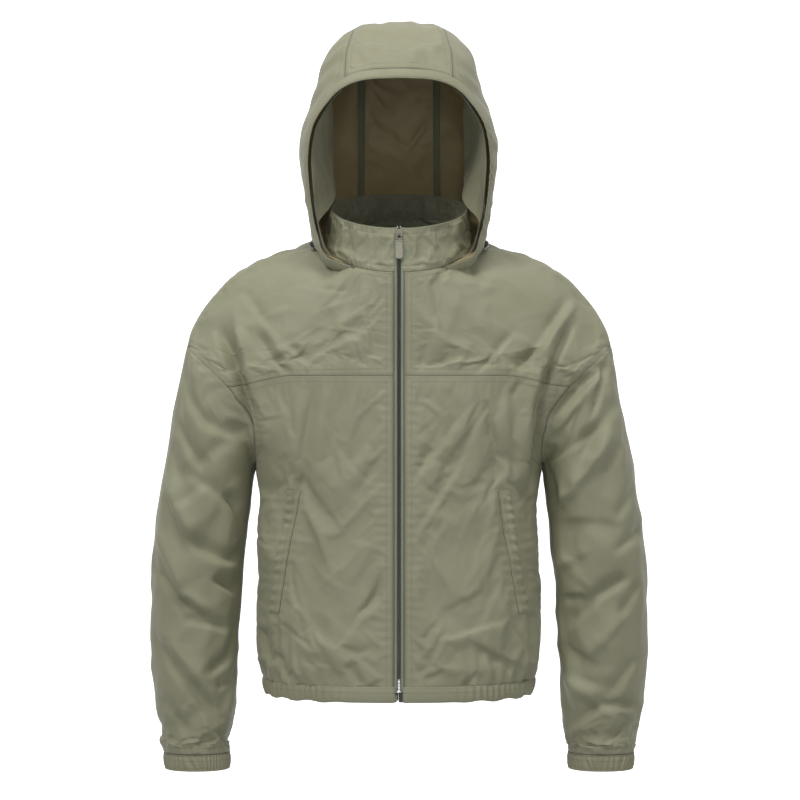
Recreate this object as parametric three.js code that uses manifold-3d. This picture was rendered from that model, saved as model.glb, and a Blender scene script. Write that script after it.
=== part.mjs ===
// Hooded zip-front jacket in light woven nylon, standing as it does on a body.
// Millimetres. +Z up, the front faces -Y, the wearer's left side is +X.
// The origin is the middle of the neck at the height of the shoulder line.
import * as THREE from 'three';
import Module from 'manifold-3d';

const wasm = await Module();
wasm.setup();
const { Manifold, CrossSection, Mesh } = wasm;

// ---- driving sizes ----
const CHEST_HALF = 178; // half the body's width at the armpit
const SHOULDER_HALF = 268; // half the width across the tops of the armholes
const BODY_DROP = 544; // shoulder line down to the hem
const ARMPIT_DROP = 257;
const ARMHOLE_TOP_DROP = 106;
const YOKE_DROP = 145; // the seam across the chest and the shoulder blades
const HEM_BAND = 20;
const FRONT_AT_NECK = 104; // neck centre forward to the front edge at the neck seam
const FRONT_AT_HEM = 133;
const BACK_DEPTH = 124; // neck centre back to the shoulder blades
const NECK_HALF = 92;
const NECK_BACK = 72;
const NECK_SLOPE = 0.398; // the neck seam rises this much per millimetre towards the back
const NECK_Z = 23.4; // height of the neck seam at the sides
const COLLAR_RISE = 47.6;
const HOOD_RISE = 286; // neck seam up to the crown
const HOOD_HALF = 124.5;
const HOOD_BACK = 126;
const FACE_TOP = 197; // neck seam up to the top of the face opening
const FACE_DEPTH = 74; // how far the side edges of the opening stand in front of the neck
const HOOD_EDGE = 15; // width of the drawcord channel
const HOOD_SEAM = 52; // half the width of the centre panel
const SLEEVE_DROP = 621; // shoulder line down to the cuff seam
const SLEEVE_HALF = 59; // half the sleeve's width at the elbow
const CUFF_HALF = 41;
const CUFF_BAND = 21;
const POCKET_DROP = 288; // top of the pocket opening
const POCKET_LENGTH = 150;
const POCKET_X = 137;
const POCKET_LEAN = 0.155; // sideways run of the opening per millimetre down
const WELT = 14;
const FABRIC = 1.8;
const GAP = 0.3; // clearance at every seam and joint

const FRONT_EDGE = 7.2; // cloth stops this far from the centre line, where the zip shows
const TAPE = 0.7;
const TAPE_OUT = 18;
const CHAIN_IN = 0.8;
const CHAIN_OUT = 2.9;
const CHAIN_THICK = 2.2;
const ELASTIC = 1.2;
const SLIDER_HALF = 5;
const SLIDER_LENGTH = 9;
const SLIDER_PLATE = 1.1;
const PULL_HALF = 5.5;
const PULL_LENGTH = 23;
const PULL_THICK = 1.3;
const LOCK_RADIUS = 5.5;
const LOCK_LENGTH = 14;
const BUTTON_RADIUS = 3.6;
const BUTTON_OUT = 5;

const AROUND_BODY = 56;
const AROUND_SLEEVE = 24;
const AROUND_HOOD = 48;

// ---- surfaces ----
const lean = (FRONT_AT_HEM - FRONT_AT_NECK) / (BODY_DROP - 18);
const neckFrontZ = NECK_Z - FRONT_AT_NECK * NECK_SLOPE;
const frontAt = (z) => FRONT_AT_NECK + lean * (neckFrontZ - z);

function oval({ z, half, front, back, power, slope = 0 }, count) {
  const points = [];
  for (let k = 0; k < count; k += 1) {
    const angle = (2 * Math.PI * k) / count - Math.PI / 2;
    const c = Math.cos(angle);
    const s = Math.sin(angle);
    const x = half * Math.sign(c) * Math.abs(c) ** (2 / power);
    const y = (s < 0 ? front : back) * Math.sign(s) * Math.abs(s) ** (2 / power);
    points.push(new THREE.Vector3(Math.abs(c) < 1e-9 ? 0 : x, y, z + slope * y));
  }
  return points;
}

// Every point moved inwards by depth along the surface normal.
function inset(grid, depth) {
  const rows = grid.length;
  const count = grid[0].length;
  return grid.map((row, i) =>
    row.map((point, j) => {
      const along = grid[Math.min(i + 1, rows - 1)][j].clone().sub(grid[Math.max(i - 1, 0)][j]);
      const around = row[(j + 1) % count].clone().sub(row[(j + count - 1) % count]);
      const normal = around.cross(along).normalize();
      return point.clone().addScaledVector(normal, -depth);
    }),
  );
}

function prolong(grid, low, high) {
  const shift = (row, step) => row.map((p) => p.clone().add(step));
  const first = grid[0];
  const last = grid[grid.length - 1];
  return [
    ...(low ? [shift(first, low)] : []),
    ...grid,
    ...(high ? [shift(last, high)] : []),
  ];
}

// A closed solid through the rings of a grid.
function loft(grid) {
  const count = grid[0].length;
  const points = grid.flat();
  const triangles = [];
  for (let i = 0; i + 1 < grid.length; i += 1) {
    for (let j = 0; j < count; j += 1) {
      const a = i * count + j;
      const b = i * count + ((j + 1) % count);
      triangles.push(a, b, b + count, a, b + count, a + count);
    }
  }
  const cap = (row, start, flip) => {
    const centre = row.reduce((sum, p) => sum.add(p), new THREE.Vector3());
    points.push(centre.divideScalar(count));
    for (let j = 0; j < count; j += 1) {
      const a = start + j;
      const b = start + ((j + 1) % count);
      triangles.push(points.length - 1, ...(flip ? [b, a] : [a, b]));
    }
  };
  cap(grid[0], 0, true);
  cap(grid[grid.length - 1], (grid.length - 1) * count, false);
  return new Manifold(
    new Mesh({
      numProp: 3,
      vertProperties: new Float32Array(points.flatMap((p) => [p.x, p.y, p.z])),
      triVerts: new Uint32Array(triangles),
    }),
  );
}

// ---- body and collar ----
const down = new THREE.Vector3(0, 0, -6);
const up = new THREE.Vector3(0, 0, 6);

const armholeLow = CHEST_HALF + 3;
const bodyRings = [
  { z: -BODY_DROP, half: 0.945, back: 0.92, power: 2.5, slope: 0 },
  { z: HEM_BAND - BODY_DROP, half: 0.965, back: 0.94, power: 2.5, slope: 0 },
  { z: -0.86 * BODY_DROP, half: 0.985, back: 0.965, power: 2.5, slope: 0 },
  { z: -0.66 * BODY_DROP, half: 0.99, back: 0.985, power: 2.4, slope: 0 },
  { z: -ARMPIT_DROP - 18, half: 0.995, back: 1, power: 2.35, slope: 0 },
].map((r) => ({ ...r, half: r.half * CHEST_HALF, back: r.back * BACK_DEPTH }));
const chestRings = [
  { t: 0.06, back: 1.01, power: 2.3, slope: 0.01 },
  { t: 0.36, back: 1.01, power: 2.2, slope: 0.03 },
  { t: 0.74, back: 1, power: 2.05, slope: 0.06 },
  { t: 1, back: 0.98, power: 1.95, slope: 0.1 },
].map((r) => ({
  ...r,
  z: -ARMPIT_DROP + r.t * (ARMPIT_DROP - ARMHOLE_TOP_DROP),
  half: armholeLow + r.t * (SHOULDER_HALF - armholeLow) - 3 * (1 - r.t),
  back: r.back * BACK_DEPTH,
}));
const shoulderRings = [
  { t: 0.27, half: 0.955, back: 0.95, power: 1.85, slope: 0.15 },
  { t: 0.5, half: 0.873, back: 0.9, power: 1.75, slope: 0.2 },
  { t: 0.73, half: 0.75, back: 0.83, power: 1.65, slope: 0.27 },
  { t: 0.89, half: 0.58, back: 0.73, power: 1.65, slope: 0.33 },
].map((r) => ({
  ...r,
  z: -ARMHOLE_TOP_DROP + r.t * (ARMHOLE_TOP_DROP + NECK_Z),
  half: r.half * SHOULDER_HALF,
  back: r.back * BACK_DEPTH,
}));
const neckRing = { z: NECK_Z, half: NECK_HALF, back: NECK_BACK, power: 1.95, slope: NECK_SLOPE };
const collarRings = [
  neckRing,
  { ...neckRing, z: NECK_Z + 0.5 * COLLAR_RISE, half: 0.965 * NECK_HALF, back: 0.93 * NECK_BACK,
    power: 2, slope: 0.37 },
  { ...neckRing, z: NECK_Z + COLLAR_RISE, half: 0.945 * NECK_HALF, back: 0.865 * NECK_BACK,
    power: 2, slope: 0.3375 },
];
const withFront = (r) => ({
  ...r,
  front: frontAt(r.z) / (1 - lean * r.slope),
});
const bodyGrid = [...bodyRings, ...chestRings, ...shoulderRings, ...collarRings]
  .map((r) => oval(withFront(r), AROUND_BODY));
const bodySolid = (depth) => loft(inset(bodyGrid, depth));
const bodyHollow = (depth) => loft(prolong(inset(bodyGrid, depth), down, up));

// ---- sleeves ----
// Each ring spans an outer and an inner point; side is +1 for the wearer's left.
const armholeTop = [SHOULDER_HALF, -ARMHOLE_TOP_DROP];
const armpit = [armholeLow, -ARMPIT_DROP];
const sleeveAxis = SHOULDER_HALF - 8;
const armholeSpan = [armholeTop[0] - armpit[0], armholeTop[1] - armpit[1]];
const armholeLength = Math.hypot(...armholeSpan);
const armholeOut = [armholeSpan[1] / armholeLength, -armholeSpan[0] / armholeLength];
const toCuff = (t) => -ARMPIT_DROP - t * (SLEEVE_DROP - ARMPIT_DROP);
const wristAxis = sleeveAxis - 4;
const outerAt = (share, t) => [sleeveAxis + share * SLEEVE_HALF, toCuff(t)];
const innerAt = (share, t) => [sleeveAxis - share * SLEEVE_HALF, toCuff(t)];
const wristDrop = SLEEVE_DROP + CUFF_BAND;
const sleeveStations = [
  {
    outer: [0.71 * SHOULDER_HALF, -0.58 * ARMHOLE_TOP_DROP],
    inner: [0.58 * CHEST_HALF, -0.82 * ARMPIT_DROP],
    deep: 0.92,
  },
  {
    outer: [0.865 * SHOULDER_HALF, -0.79 * ARMHOLE_TOP_DROP],
    inner: [0.8 * CHEST_HALF, -0.91 * ARMPIT_DROP],
    deep: 1.06,
  },
  { outer: armholeTop, inner: armpit, deep: 1.12 },
  { outer: [sleeveAxis + 28, toCuff(-0.215)], inner: [armholeLow + 4, toCuff(0.06)], deep: 1.08 },
  { outer: [sleeveAxis + 41, toCuff(-0.035)], inner: [armholeLow + 8, toCuff(0.12)], deep: 1.04 },
  { outer: [sleeveAxis + 50, toCuff(0.125)], inner: [armholeLow + 13, toCuff(0.2)], deep: 1.01 },
  { outer: outerAt(0.983, 0.29), inner: innerAt(1, 0.32), deep: 0.98 },
  { outer: outerAt(1, 0.475), inner: innerAt(0.93, 0.475), deep: 0.94 },
  { outer: outerAt(0.95, 0.67), inner: innerAt(0.87, 0.67), deep: 0.87 },
  { outer: outerAt(0.86, 0.83), inner: innerAt(0.83, 0.83), deep: 0.8 },
  { outer: outerAt(0.76, 0.945), inner: innerAt(0.8, 0.945), deep: 0.72 },
  { outer: [wristAxis + CUFF_HALF, toCuff(1)], inner: [wristAxis - CUFF_HALF, toCuff(1)], deep: 0.64 },
  { outer: [wristAxis + CUFF_HALF, -wristDrop], inner: [wristAxis - CUFF_HALF, -wristDrop], deep: 0.63 },
];
function sleeveGrid(side) {
  return sleeveStations.map(({ outer, inner, deep }) => {
    const points = [];
    for (let k = 0; k < AROUND_SLEEVE; k += 1) {
      const angle = (2 * Math.PI * k) / AROUND_SLEEVE;
      const w = Math.sign(Math.cos(angle)) * Math.abs(Math.cos(angle)) ** 0.92;
      const d = Math.sign(Math.sin(angle)) * Math.abs(Math.sin(angle)) ** 0.92;
      const x = (outer[0] + inner[0]) / 2 + ((outer[0] - inner[0]) / 2) * w;
      const z = (outer[1] + inner[1]) / 2 + ((outer[1] - inner[1]) / 2) * w;
      points.push(new THREE.Vector3(side * x, -side * deep * SLEEVE_HALF * d, z));
    }
    return points;
  });
}
const sleeveSolid = (side, depth) => loft(inset(sleeveGrid(side), depth));
const sleeveHollow = (side, depth) => loft(prolong(inset(sleeveGrid(side), depth), null, down));

// Keeps the side of a plane that its normal points to.
const keep = (solid, normal, offset) => solid.trimByPlane(normal, offset);
const above = (solid, z) => keep(solid, [0, 0, 1], z);
const below = (solid, z) => keep(solid, [0, 0, -1], -z);
const between = (solid, axis, low, high) => {
  const unit = [0, 1, 2].map((k) => (k === axis ? 1 : 0));
  return keep(keep(solid, unit, low), unit.map((v) => -v), -high);
};
const neckNormal = [0, -NECK_SLOPE, 1];
const aboveNeck = (solid, clearance) => {
  const length = Math.hypot(...neckNormal);
  return keep(solid, neckNormal.map((v) => v / length), (NECK_Z + clearance) / length);
};
const belowNeck = (solid, clearance) => {
  const length = Math.hypot(...neckNormal);
  return keep(solid, neckNormal.map((v) => -v / length), -(NECK_Z - clearance) / length);
};

const whole = Manifold.union([bodySolid(0), sleeveSolid(1, 0), sleeveSolid(-1, 0)]);
const hollow = Manifold.union([
  bodyHollow(FABRIC), sleeveHollow(1, FABRIC), sleeveHollow(-1, FABRIC),
]);
const cloth = whole.subtract(hollow);

// The space on the sleeve's side of the armhole seam, with a margin added.
function armZone(side, margin) {
  const block = Manifold.cube([600, 600, 900], true).translate([side * 350, 0, -400]);
  const normal = [side * armholeOut[0], 0, armholeOut[1]];
  const offset = armholeOut[0] * armpit[0] + armholeOut[1] * armpit[1];
  return keep(keep(block, normal, offset - margin), [side, 0, 0], CHEST_HALF + 1.4 - margin);
}
const bodyCloth = cloth.subtract(armZone(1, GAP)).subtract(armZone(-1, GAP));
const lowerBody = below(bodyCloth, -YOKE_DROP - GAP / 2);
const yokes = belowNeck(above(bodyCloth, -YOKE_DROP + GAP / 2), GAP / 2);
const panels = above(lowerBody, HEM_BAND - BODY_DROP + GAP / 2);
const hems = below(lowerBody, HEM_BAND - BODY_DROP - GAP / 2);
const collars = aboveNeck(bodyCloth, GAP / 2);

const frontHalf = (solid, side) =>
  keep(keep(solid, [side, 0, 0], FRONT_EDGE), [0, -1, 0], GAP / 2);
const backHalf = (solid) => keep(solid, [0, 1, 0], GAP / 2);

// ---- pockets ----
// A slanted strip through the front, from inX to outX beside the opening line.
function pocketPrism(side, inX, outX, top, bottom) {
  const xAt = (z) => POCKET_X + (-POCKET_DROP - z) * POCKET_LEAN;
  const outline = [
    [xAt(top) + inX, top], [xAt(bottom) + inX, bottom],
    [xAt(bottom) + outX, bottom], [xAt(top) + outX, top],
  ];
  const flat = new CrossSection([outline], 'Positive').extrude(200);
  const stood = flat.rotate([90, 0, 0]);
  return side > 0 ? stood : stood.mirror([1, 0, 0]);
}
const BAG_THICK = 2.4; // both plies of the bag, lying together
const BAG_IN = 95;
const pocketTop = -POCKET_DROP;
const pocketBottom = -POCKET_DROP - POCKET_LENGTH;
const liningFrom = FABRIC + GAP;
const WELT_RAISE = 1.6; // the welt stands this far out of the front
const BAG_ABOVE = 14;
const BAG_BELOW = 34;
const BAG_OUT = 10;
const BAG_FROM_SIDE = 5;
const remembered = (make) => {
  const made = new Map();
  return (depth) => {
    const key = depth.toFixed(3);
    if (!made.has(key)) made.set(key, make(depth));
    return made.get(key);
  };
};
const solidAt = remembered(bodySolid);
const hollowAt = remembered(bodyHollow);

const weltLayer = solidAt(-WELT_RAISE).subtract(hollowAt(-GAP));
const bagLayer = solidAt(liningFrom).subtract(hollowAt(liningFrom + BAG_THICK));
const pocketWelt = (side) =>
  weltLayer.intersect(pocketPrism(side, -WELT, 0, pocketTop, pocketBottom));
const pocketBag = (side) =>
  keep(bagLayer, [0, -1, 0], BAG_FROM_SIDE)
    .intersect(pocketPrism(side, -BAG_IN, BAG_OUT, pocketTop + BAG_ABOVE, pocketBottom - BAG_BELOW));

// ---- zip ----
// In the zip's own frame x runs across, y into the cloth and z up the front edge.
const zipTilt = (Math.atan(lean) * 180) / Math.PI;
const onFront = (solid) =>
  solid.rotate([-zipTilt, 0, 0]).translate([0, -FRONT_AT_NECK, neckFrontZ]);
const stretch = Math.hypot(1, lean);
const zipAt = (z) => (z - neckFrontZ) * stretch;
const collarFrontZ = NECK_Z + COLLAR_RISE
  - withFront(collarRings[2]).front * collarRings[2].slope;
const chainTop = zipAt(collarFrontZ) - 1;
const chainBottom = zipAt(-BODY_DROP) + 14;
const tapeFrom = liningFrom;
const chainMid = tapeFrom + TAPE / 2;
const box = (x0, x1, y0, y1, z0, z1) =>
  Manifold.cube([x1 - x0, y1 - y0, z1 - z0]).translate([x0, y0, z0]);
const sided = (solid, side) => (side > 0 ? solid : solid.mirror([1, 0, 0]));

const tapes = solidAt(tapeFrom).subtract(hollowAt(tapeFrom + TAPE));
const tape = (side) =>
  keep(keep(keep(tapes, [side, 0, 0], CHAIN_OUT + 0.2), [-side, 0, 0], -TAPE_OUT), [0, -1, 0], 0);
const chain = (side) =>
  onFront(sided(
    box(CHAIN_IN, CHAIN_OUT, chainMid - CHAIN_THICK / 2, chainMid + CHAIN_THICK / 2,
      chainBottom, chainTop), side));
const topStop = (side) =>
  onFront(sided(box(CHAIN_IN, CHAIN_OUT, chainMid - 1.4, chainMid + 1.4,
    chainTop + GAP, chainTop + 3), side));
const endBlock = (side, bottom) =>
  onFront(sided(box(0.6, CHAIN_OUT, chainMid - 2, chainMid + 2,
    bottom, chainBottom - GAP), side));

const cavity = 0.75; // free space between the chain and each plate of the slider
const plateFront = chainMid - CHAIN_THICK / 2 - cavity;
const plateBack = chainMid + CHAIN_THICK / 2 + cavity;
const sliderTop = chainTop - 0.5;
const sliderMid = sliderTop - SLIDER_LENGTH / 2;
const lugOut = 3.4;
const pinY = plateFront - SLIDER_PLATE - 1.9;
const pinZ = sliderMid;
const rod = (radius, length, sides = 12) =>
  Manifold.cylinder(length, radius, radius, sides, true).rotate([0, 90, 0]);
function slider() {
  const front = box(-SLIDER_HALF, SLIDER_HALF, plateFront - SLIDER_PLATE, plateFront,
    sliderTop - SLIDER_LENGTH, sliderTop);
  const back = box(-SLIDER_HALF, SLIDER_HALF, plateBack, plateBack + SLIDER_PLATE,
    sliderTop - SLIDER_LENGTH, sliderTop);
  const web = box(0.5 - CHAIN_IN, CHAIN_IN - 0.5, plateFront - 0.1, plateBack + 0.1,
    sliderTop - SLIDER_LENGTH, sliderTop - 3);
  const lug = box(-1.6, 1.6, plateFront - SLIDER_PLATE - lugOut, plateFront - SLIDER_PLATE + 0.1,
    pinZ - 2.6, pinZ + 2.6);
  const eye = rod(1.15, 10).translate([0, pinY, pinZ]);
  return onFront(Manifold.union([front, back, web, lug]).subtract(eye));
}
const linkBottom = pinZ - 8.5;
function link() {
  const pin = rod(0.75, 6.2).translate([0, pinY, pinZ]);
  const foot = rod(0.6, 6.2).translate([0, pinY, linkBottom]);
  const legs = [-1, 1].map((side) =>
    sided(box(2.1, 3.1, pinY - 0.75, pinY + 0.75, linkBottom - 0.6, pinZ + 0.75), side));
  return onFront(Manifold.union([pin, foot, ...legs]));
}
function tab() {
  const top = linkBottom - 1.2;
  const plate = box(-PULL_HALF, PULL_HALF, pinY - PULL_THICK / 2, pinY + PULL_THICK / 2,
    top - PULL_LENGTH, top);
  const knuckle = rod(1.6, 3.4, 16).translate([0, pinY, linkBottom]);
  const bore = rod(0.9, 4, 16).translate([0, pinY, linkBottom]);
  return onFront(plate.add(knuckle).subtract(bore));
}

// ---- hood ----
const neckToCrown = (t) => NECK_Z + t * HOOD_RISE;
const HOOD_EASE = 2.3; // the hood's neck seam stands this far outside the collar's
const mixed = (low, high, share) => low + share * (high - low);
// wide and deep run from the neck's sizes (0) to the hood's fullest (1).
const lowRings = [
  { t: 0.025, wide: 0.348, forward: 6, deep: 0.137, power: 3, slope: 0.38 },
  { t: 0.1, wide: 0.597, forward: 9, deep: 0.346, power: 3.2, slope: 0.3 },
  { t: 0.19, wide: 0.791, forward: 12, deep: 0.58, power: 3.2, slope: 0.2 },
  { t: 0.28, wide: 0.917, forward: 13, deep: 0.767, power: 3.1, slope: 0.1 },
  { t: 0.37, wide: 1, forward: 13, deep: 0.907, power: 3, slope: 0.04 },
].map((r) => ({
  ...r,
  half: mixed(NECK_HALF, HOOD_HALF, r.wide),
  back: mixed(NECK_BACK, HOOD_BACK, r.deep),
}));
const crownRings = [
  { t: 0.5, half: 0.975, forward: 12, back: 1, power: 2.9, slope: 0 },
  { t: 0.6, half: 0.9, forward: 7, back: 0.99, power: 2.7, slope: 0 },
  { t: 0.69, half: 0.838, forward: -3, back: 0.94, power: 2.6, slope: 0 },
  { t: 0.775, half: 0.79, forward: -16, back: 0.86, power: 2.5, slope: 0 },
  { t: 0.84, half: 0.74, forward: -30, back: 0.76, power: 2.5, slope: 0 },
  { t: 0.9, half: 0.63, forward: -51, back: 0.62, power: 2.4, slope: 0 },
  { t: 0.955, half: 0.47, forward: -76, back: 0.45, power: 2.3, slope: 0 },
  { t: 0.99, half: 0.24, forward: -98, back: 0.26, power: 2.2, slope: 0 },
].map((r) => ({ ...r, half: r.half * HOOD_HALF, back: r.back * HOOD_BACK }));
const seamRing = {
  t: 0,
  half: NECK_HALF + HOOD_EASE,
  forward: HOOD_EASE,
  back: NECK_BACK + HOOD_EASE,
  power: 2,
  slope: NECK_SLOPE,
};
const hoodRings = [seamRing, ...lowRings, ...crownRings].map((r) => ({
  ...r,
  z: neckToCrown(r.t),
  front: FRONT_AT_NECK + r.forward,
}));
const hoodGrid = hoodRings.map((r) => oval(r, AROUND_HOOD));
const hoodSolid = (depth) => loft(inset(hoodGrid, depth));
const hoodHollow = (depth) => loft(prolong(inset(hoodGrid, depth), down, null));

// The face opening, grown by margin: its outline seen from the front and from the side.
function faceCutter(margin) {
  const top = NECK_Z + FACE_TOP;
  const arch = [
    [0.33, 6], [0.57, 16], [0.73, 26], [0.85, 39], [0.95, 52], [1.6, 60], [1.6, 400],
  ].map(([x, drop]) => [x * HOOD_HALF, top - drop]);
  const mirrored = arch.map(([x, z]) => [-x, z]);
  const front = new CrossSection([[[0, top], ...mirrored, ...arch.reverse()]], 'EvenOdd');
  const side = new CrossSection([[
    [-400, NECK_Z + 260], [12 - FACE_DEPTH, NECK_Z + 260], [-FACE_DEPTH, NECK_Z + 150],
    [-FACE_DEPTH, NECK_Z + 12], [-FACE_DEPTH - 10, NECK_Z - 30],
    [-FACE_DEPTH - 20, NECK_Z - 100], [-400, NECK_Z - 100],
  ]], 'EvenOdd');
  const grown = (section) => (margin ? section.offset(margin, 'Round', 2, 24) : section);
  const frontPrism = grown(front).extrude(400).rotate([90, 0, 0]);
  const sidePrism = grown(side).extrude(800, 0, 0, [1, 1], true).rotate([90, 0, 90]);
  return frontPrism.intersect(sidePrism);
}
const hoodCloth = aboveNeck(hoodSolid(0).subtract(hoodHollow(FABRIC)), GAP);
const face = faceCutter(0);
const edgeZone = faceCutter(HOOD_EDGE);
const hoodOpen = hoodCloth.subtract(face);
const hoodEdge = hoodOpen.intersect(faceCutter(HOOD_EDGE - GAP));
const hoodPanels = hoodOpen.subtract(edgeZone);
const hoodTapes = aboveNeck(hoodSolid(FABRIC + GAP).subtract(hoodHollow(FABRIC + GAP + TAPE)), GAP)
  .subtract(edgeZone);
const hoodTape = (side) =>
  keep(keep(hoodTapes, [side, 0, 0], HOOD_SEAM - 5), [-side, 0, 0], -HOOD_SEAM - 5);

// ---- neck tape and hanger loop ----
const neckTape = backHalf(
  belowNeck(aboveNeck(tapes, -6), -5),
);
const LOOP_SEAT = 0.33; // how far the loop's ends press into the tape's curve
const neckBackAt = (x) =>
  NECK_BACK * (1 - (x / NECK_HALF) ** neckRing.power) ** (1 / neckRing.power);
const LOOP_HALF = 26;
const loopBack = neckBackAt(LOOP_HALF) + LOOP_SEAT - tapeFrom - TAPE - GAP;
const loopTop = NECK_Z + NECK_SLOPE * loopBack;
const LOOP_THICK = 1.4;
const LOOP_HEIGHT = 13;
const hangLoop = box(-LOOP_HALF, LOOP_HALF, loopBack - LOOP_THICK, loopBack,
  loopTop - LOOP_HEIGHT, loopTop)
  .subtract(box(4 - LOOP_HALF, LOOP_HALF - 4, loopBack - 9, loopBack + 9,
    loopTop - LOOP_HEIGHT + 3, loopTop - 3));

// ---- cord locks, on the shoulders beside the hood ----
const lockX = lowRings[0].half + LOCK_RADIUS - 0.5;
const lockFront = -12;
const shoulderAt = (x, y) =>
  solidAt(0).intersect(Manifold.cube([1, 1, 400], true).translate([x, y, 0])).boundingBox().max[2];
const LOCK_RISE = LOCK_RADIUS + 3.5; // the lock's axis above the shoulder
const lockAt = {
  x: lockX,
  y: lockFront,
  z: shoulderAt(lockX, lockFront - LOCK_LENGTH / 2) + LOCK_RISE,
};
const lockBed = hoodSolid(-GAP).add(bodySolid(-GAP));
const tube = (outer, inner, low, high) =>
  Manifold.cylinder(high - low, outer, outer, 16).subtract(
    Manifold.cylinder(high - low + 2, inner, inner, 16).translate([0, 0, -1])).translate([0, 0, low]);
const lockTurn = (solid, side) =>
  sided(solid.rotate([90, 0, 0]).translate([lockAt.x, lockAt.y, lockAt.z]), side);
const cordLock = (side) => lockTurn(
  tube(LOCK_RADIUS, BUTTON_RADIUS + 0.25, 0, LOCK_LENGTH)
    .add(Manifold.cylinder(3, LOCK_RADIUS, LOCK_RADIUS, 16)), side).subtract(lockBed);
const lockButton = (side) => lockTurn(
  Manifold.cylinder(LOCK_LENGTH + BUTTON_OUT - 8, BUTTON_RADIUS, BUTTON_RADIUS, 16)
    .translate([0, 0, 8]), side);

// ---- cuffs, elastics ----
const sleeveCloth = (side) => above(cloth.intersect(armZone(side, 0)), GAP / 2 - SLEEVE_DROP);
const cuff = (side) => below(cloth.intersect(armZone(side, 0)), -GAP / 2 - SLEEVE_DROP);
const cuffElastic = (side) => between(
  sleeveSolid(side, liningFrom).subtract(sleeveHollow(side, liningFrom + ELASTIC)),
  2, 3 - SLEEVE_DROP - CUFF_BAND, -SLEEVE_DROP - 3);
const hemElastic = (() => {
  const band = between(
    solidAt(liningFrom).subtract(hollowAt(liningFrom + ELASTIC)),
    2, 3 - BODY_DROP, HEM_BAND - BODY_DROP - 3);
  const free = TAPE_OUT + 4;
  return band.subtract(Manifold.cube([2 * free, 400, 100], true).translate([0, -200, -BODY_DROP]));
})();

// ---- assembly ----
const sage = { color: 0x85836a, roughness: 0.62, metalness: 0 };
const sageDark = { color: 0x76755d, roughness: 0.65, metalness: 0 };
const tapeTone = { color: 0x5c6656, roughness: 0.85, metalness: 0 };
const chainTone = { color: 0x33382f, roughness: 0.5, metalness: 0 };
const metal = { color: 0x8a8873, roughness: 0.42, metalness: 0.6 };
const black = { color: 0x17181a, roughness: 0.45, metalness: 0 };
const elasticTone = { color: 0x6d6c56, roughness: 0.8, metalness: 0 };

const group = new THREE.Group();
function add(name, solid, look) {
  const pieces = solid.decompose().sort((a, b) => b.volume() - a.volume());
  const mesh = pieces[0].simplify(0.02).getMesh();
  const geometry = new THREE.BufferGeometry();
  geometry.setAttribute('position', new THREE.BufferAttribute(mesh.vertProperties, 3));
  geometry.setIndex(new THREE.BufferAttribute(mesh.triVerts, 1));
  geometry.computeVertexNormals();
  const item = new THREE.Mesh(geometry, new THREE.MeshStandardMaterial(look));
  item.name = name;
  group.add(item);
}

const SIDES = [['left', 1], ['right', -1]];
for (const [name, side] of SIDES) {
  add(`front_${name}`, frontHalf(panels, side), sage);
  add(`yoke_front_${name}`, frontHalf(yokes, side), sage);
  add(`hem_${name}`, frontHalf(hems, side), sageDark);
  add(`collar_${name}`, frontHalf(collars, side), sage);
  add(`pocket_welt_${name}`, pocketWelt(side), sageDark);
  add(`pocket_bag_${name}`, pocketBag(side), sageDark);
  add(`zip_tape_${name}`, tape(side), tapeTone);
  add(`zip_chain_${name}`, chain(side), chainTone);
  add(`zip_top_stop_${name}`, topStop(side), metal);
  add(`sleeve_${name}`, sleeveCloth(side), sage);
  add(`cuff_${name}`, cuff(side), sageDark);
  add(`cuff_elastic_${name}`, cuffElastic(side), elasticTone);
  add(`hood_${name}`, keep(hoodPanels, [side, 0, 0], HOOD_SEAM + GAP / 2), sage);
  add(`hood_tape_${name}`, hoodTape(side), tapeTone);
  add(`cord_lock_${name}`, cordLock(side), metal);
  add(`lock_button_${name}`, lockButton(side), black);
}
add('yoke_back', backHalf(yokes), sage);
add('back_panel', backHalf(panels), sage);
add('hem_back', backHalf(hems), sageDark);
add('collar_back', backHalf(collars), sage);
add('hood_centre', between(hoodPanels, 0, GAP / 2 - HOOD_SEAM, HOOD_SEAM - GAP / 2), sage);
add('hood_edge', hoodEdge, sageDark);
add('neck_tape', neckTape, tapeTone);
add('hang_loop', hangLoop, tapeTone);
add('hem_elastic', hemElastic, elasticTone);
add('zip_slider', slider(), metal);
add('zip_link', link(), metal);
add('zip_tab', tab(), metal);
add('zip_box', endBlock(1, zipAt(-BODY_DROP) + 1), black);
add('zip_pin', endBlock(-1, zipAt(-BODY_DROP) + 3), black);

export default group;
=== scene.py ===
"""A light hooded jacket with a full-length zip, made piece by piece."""
import math

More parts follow.
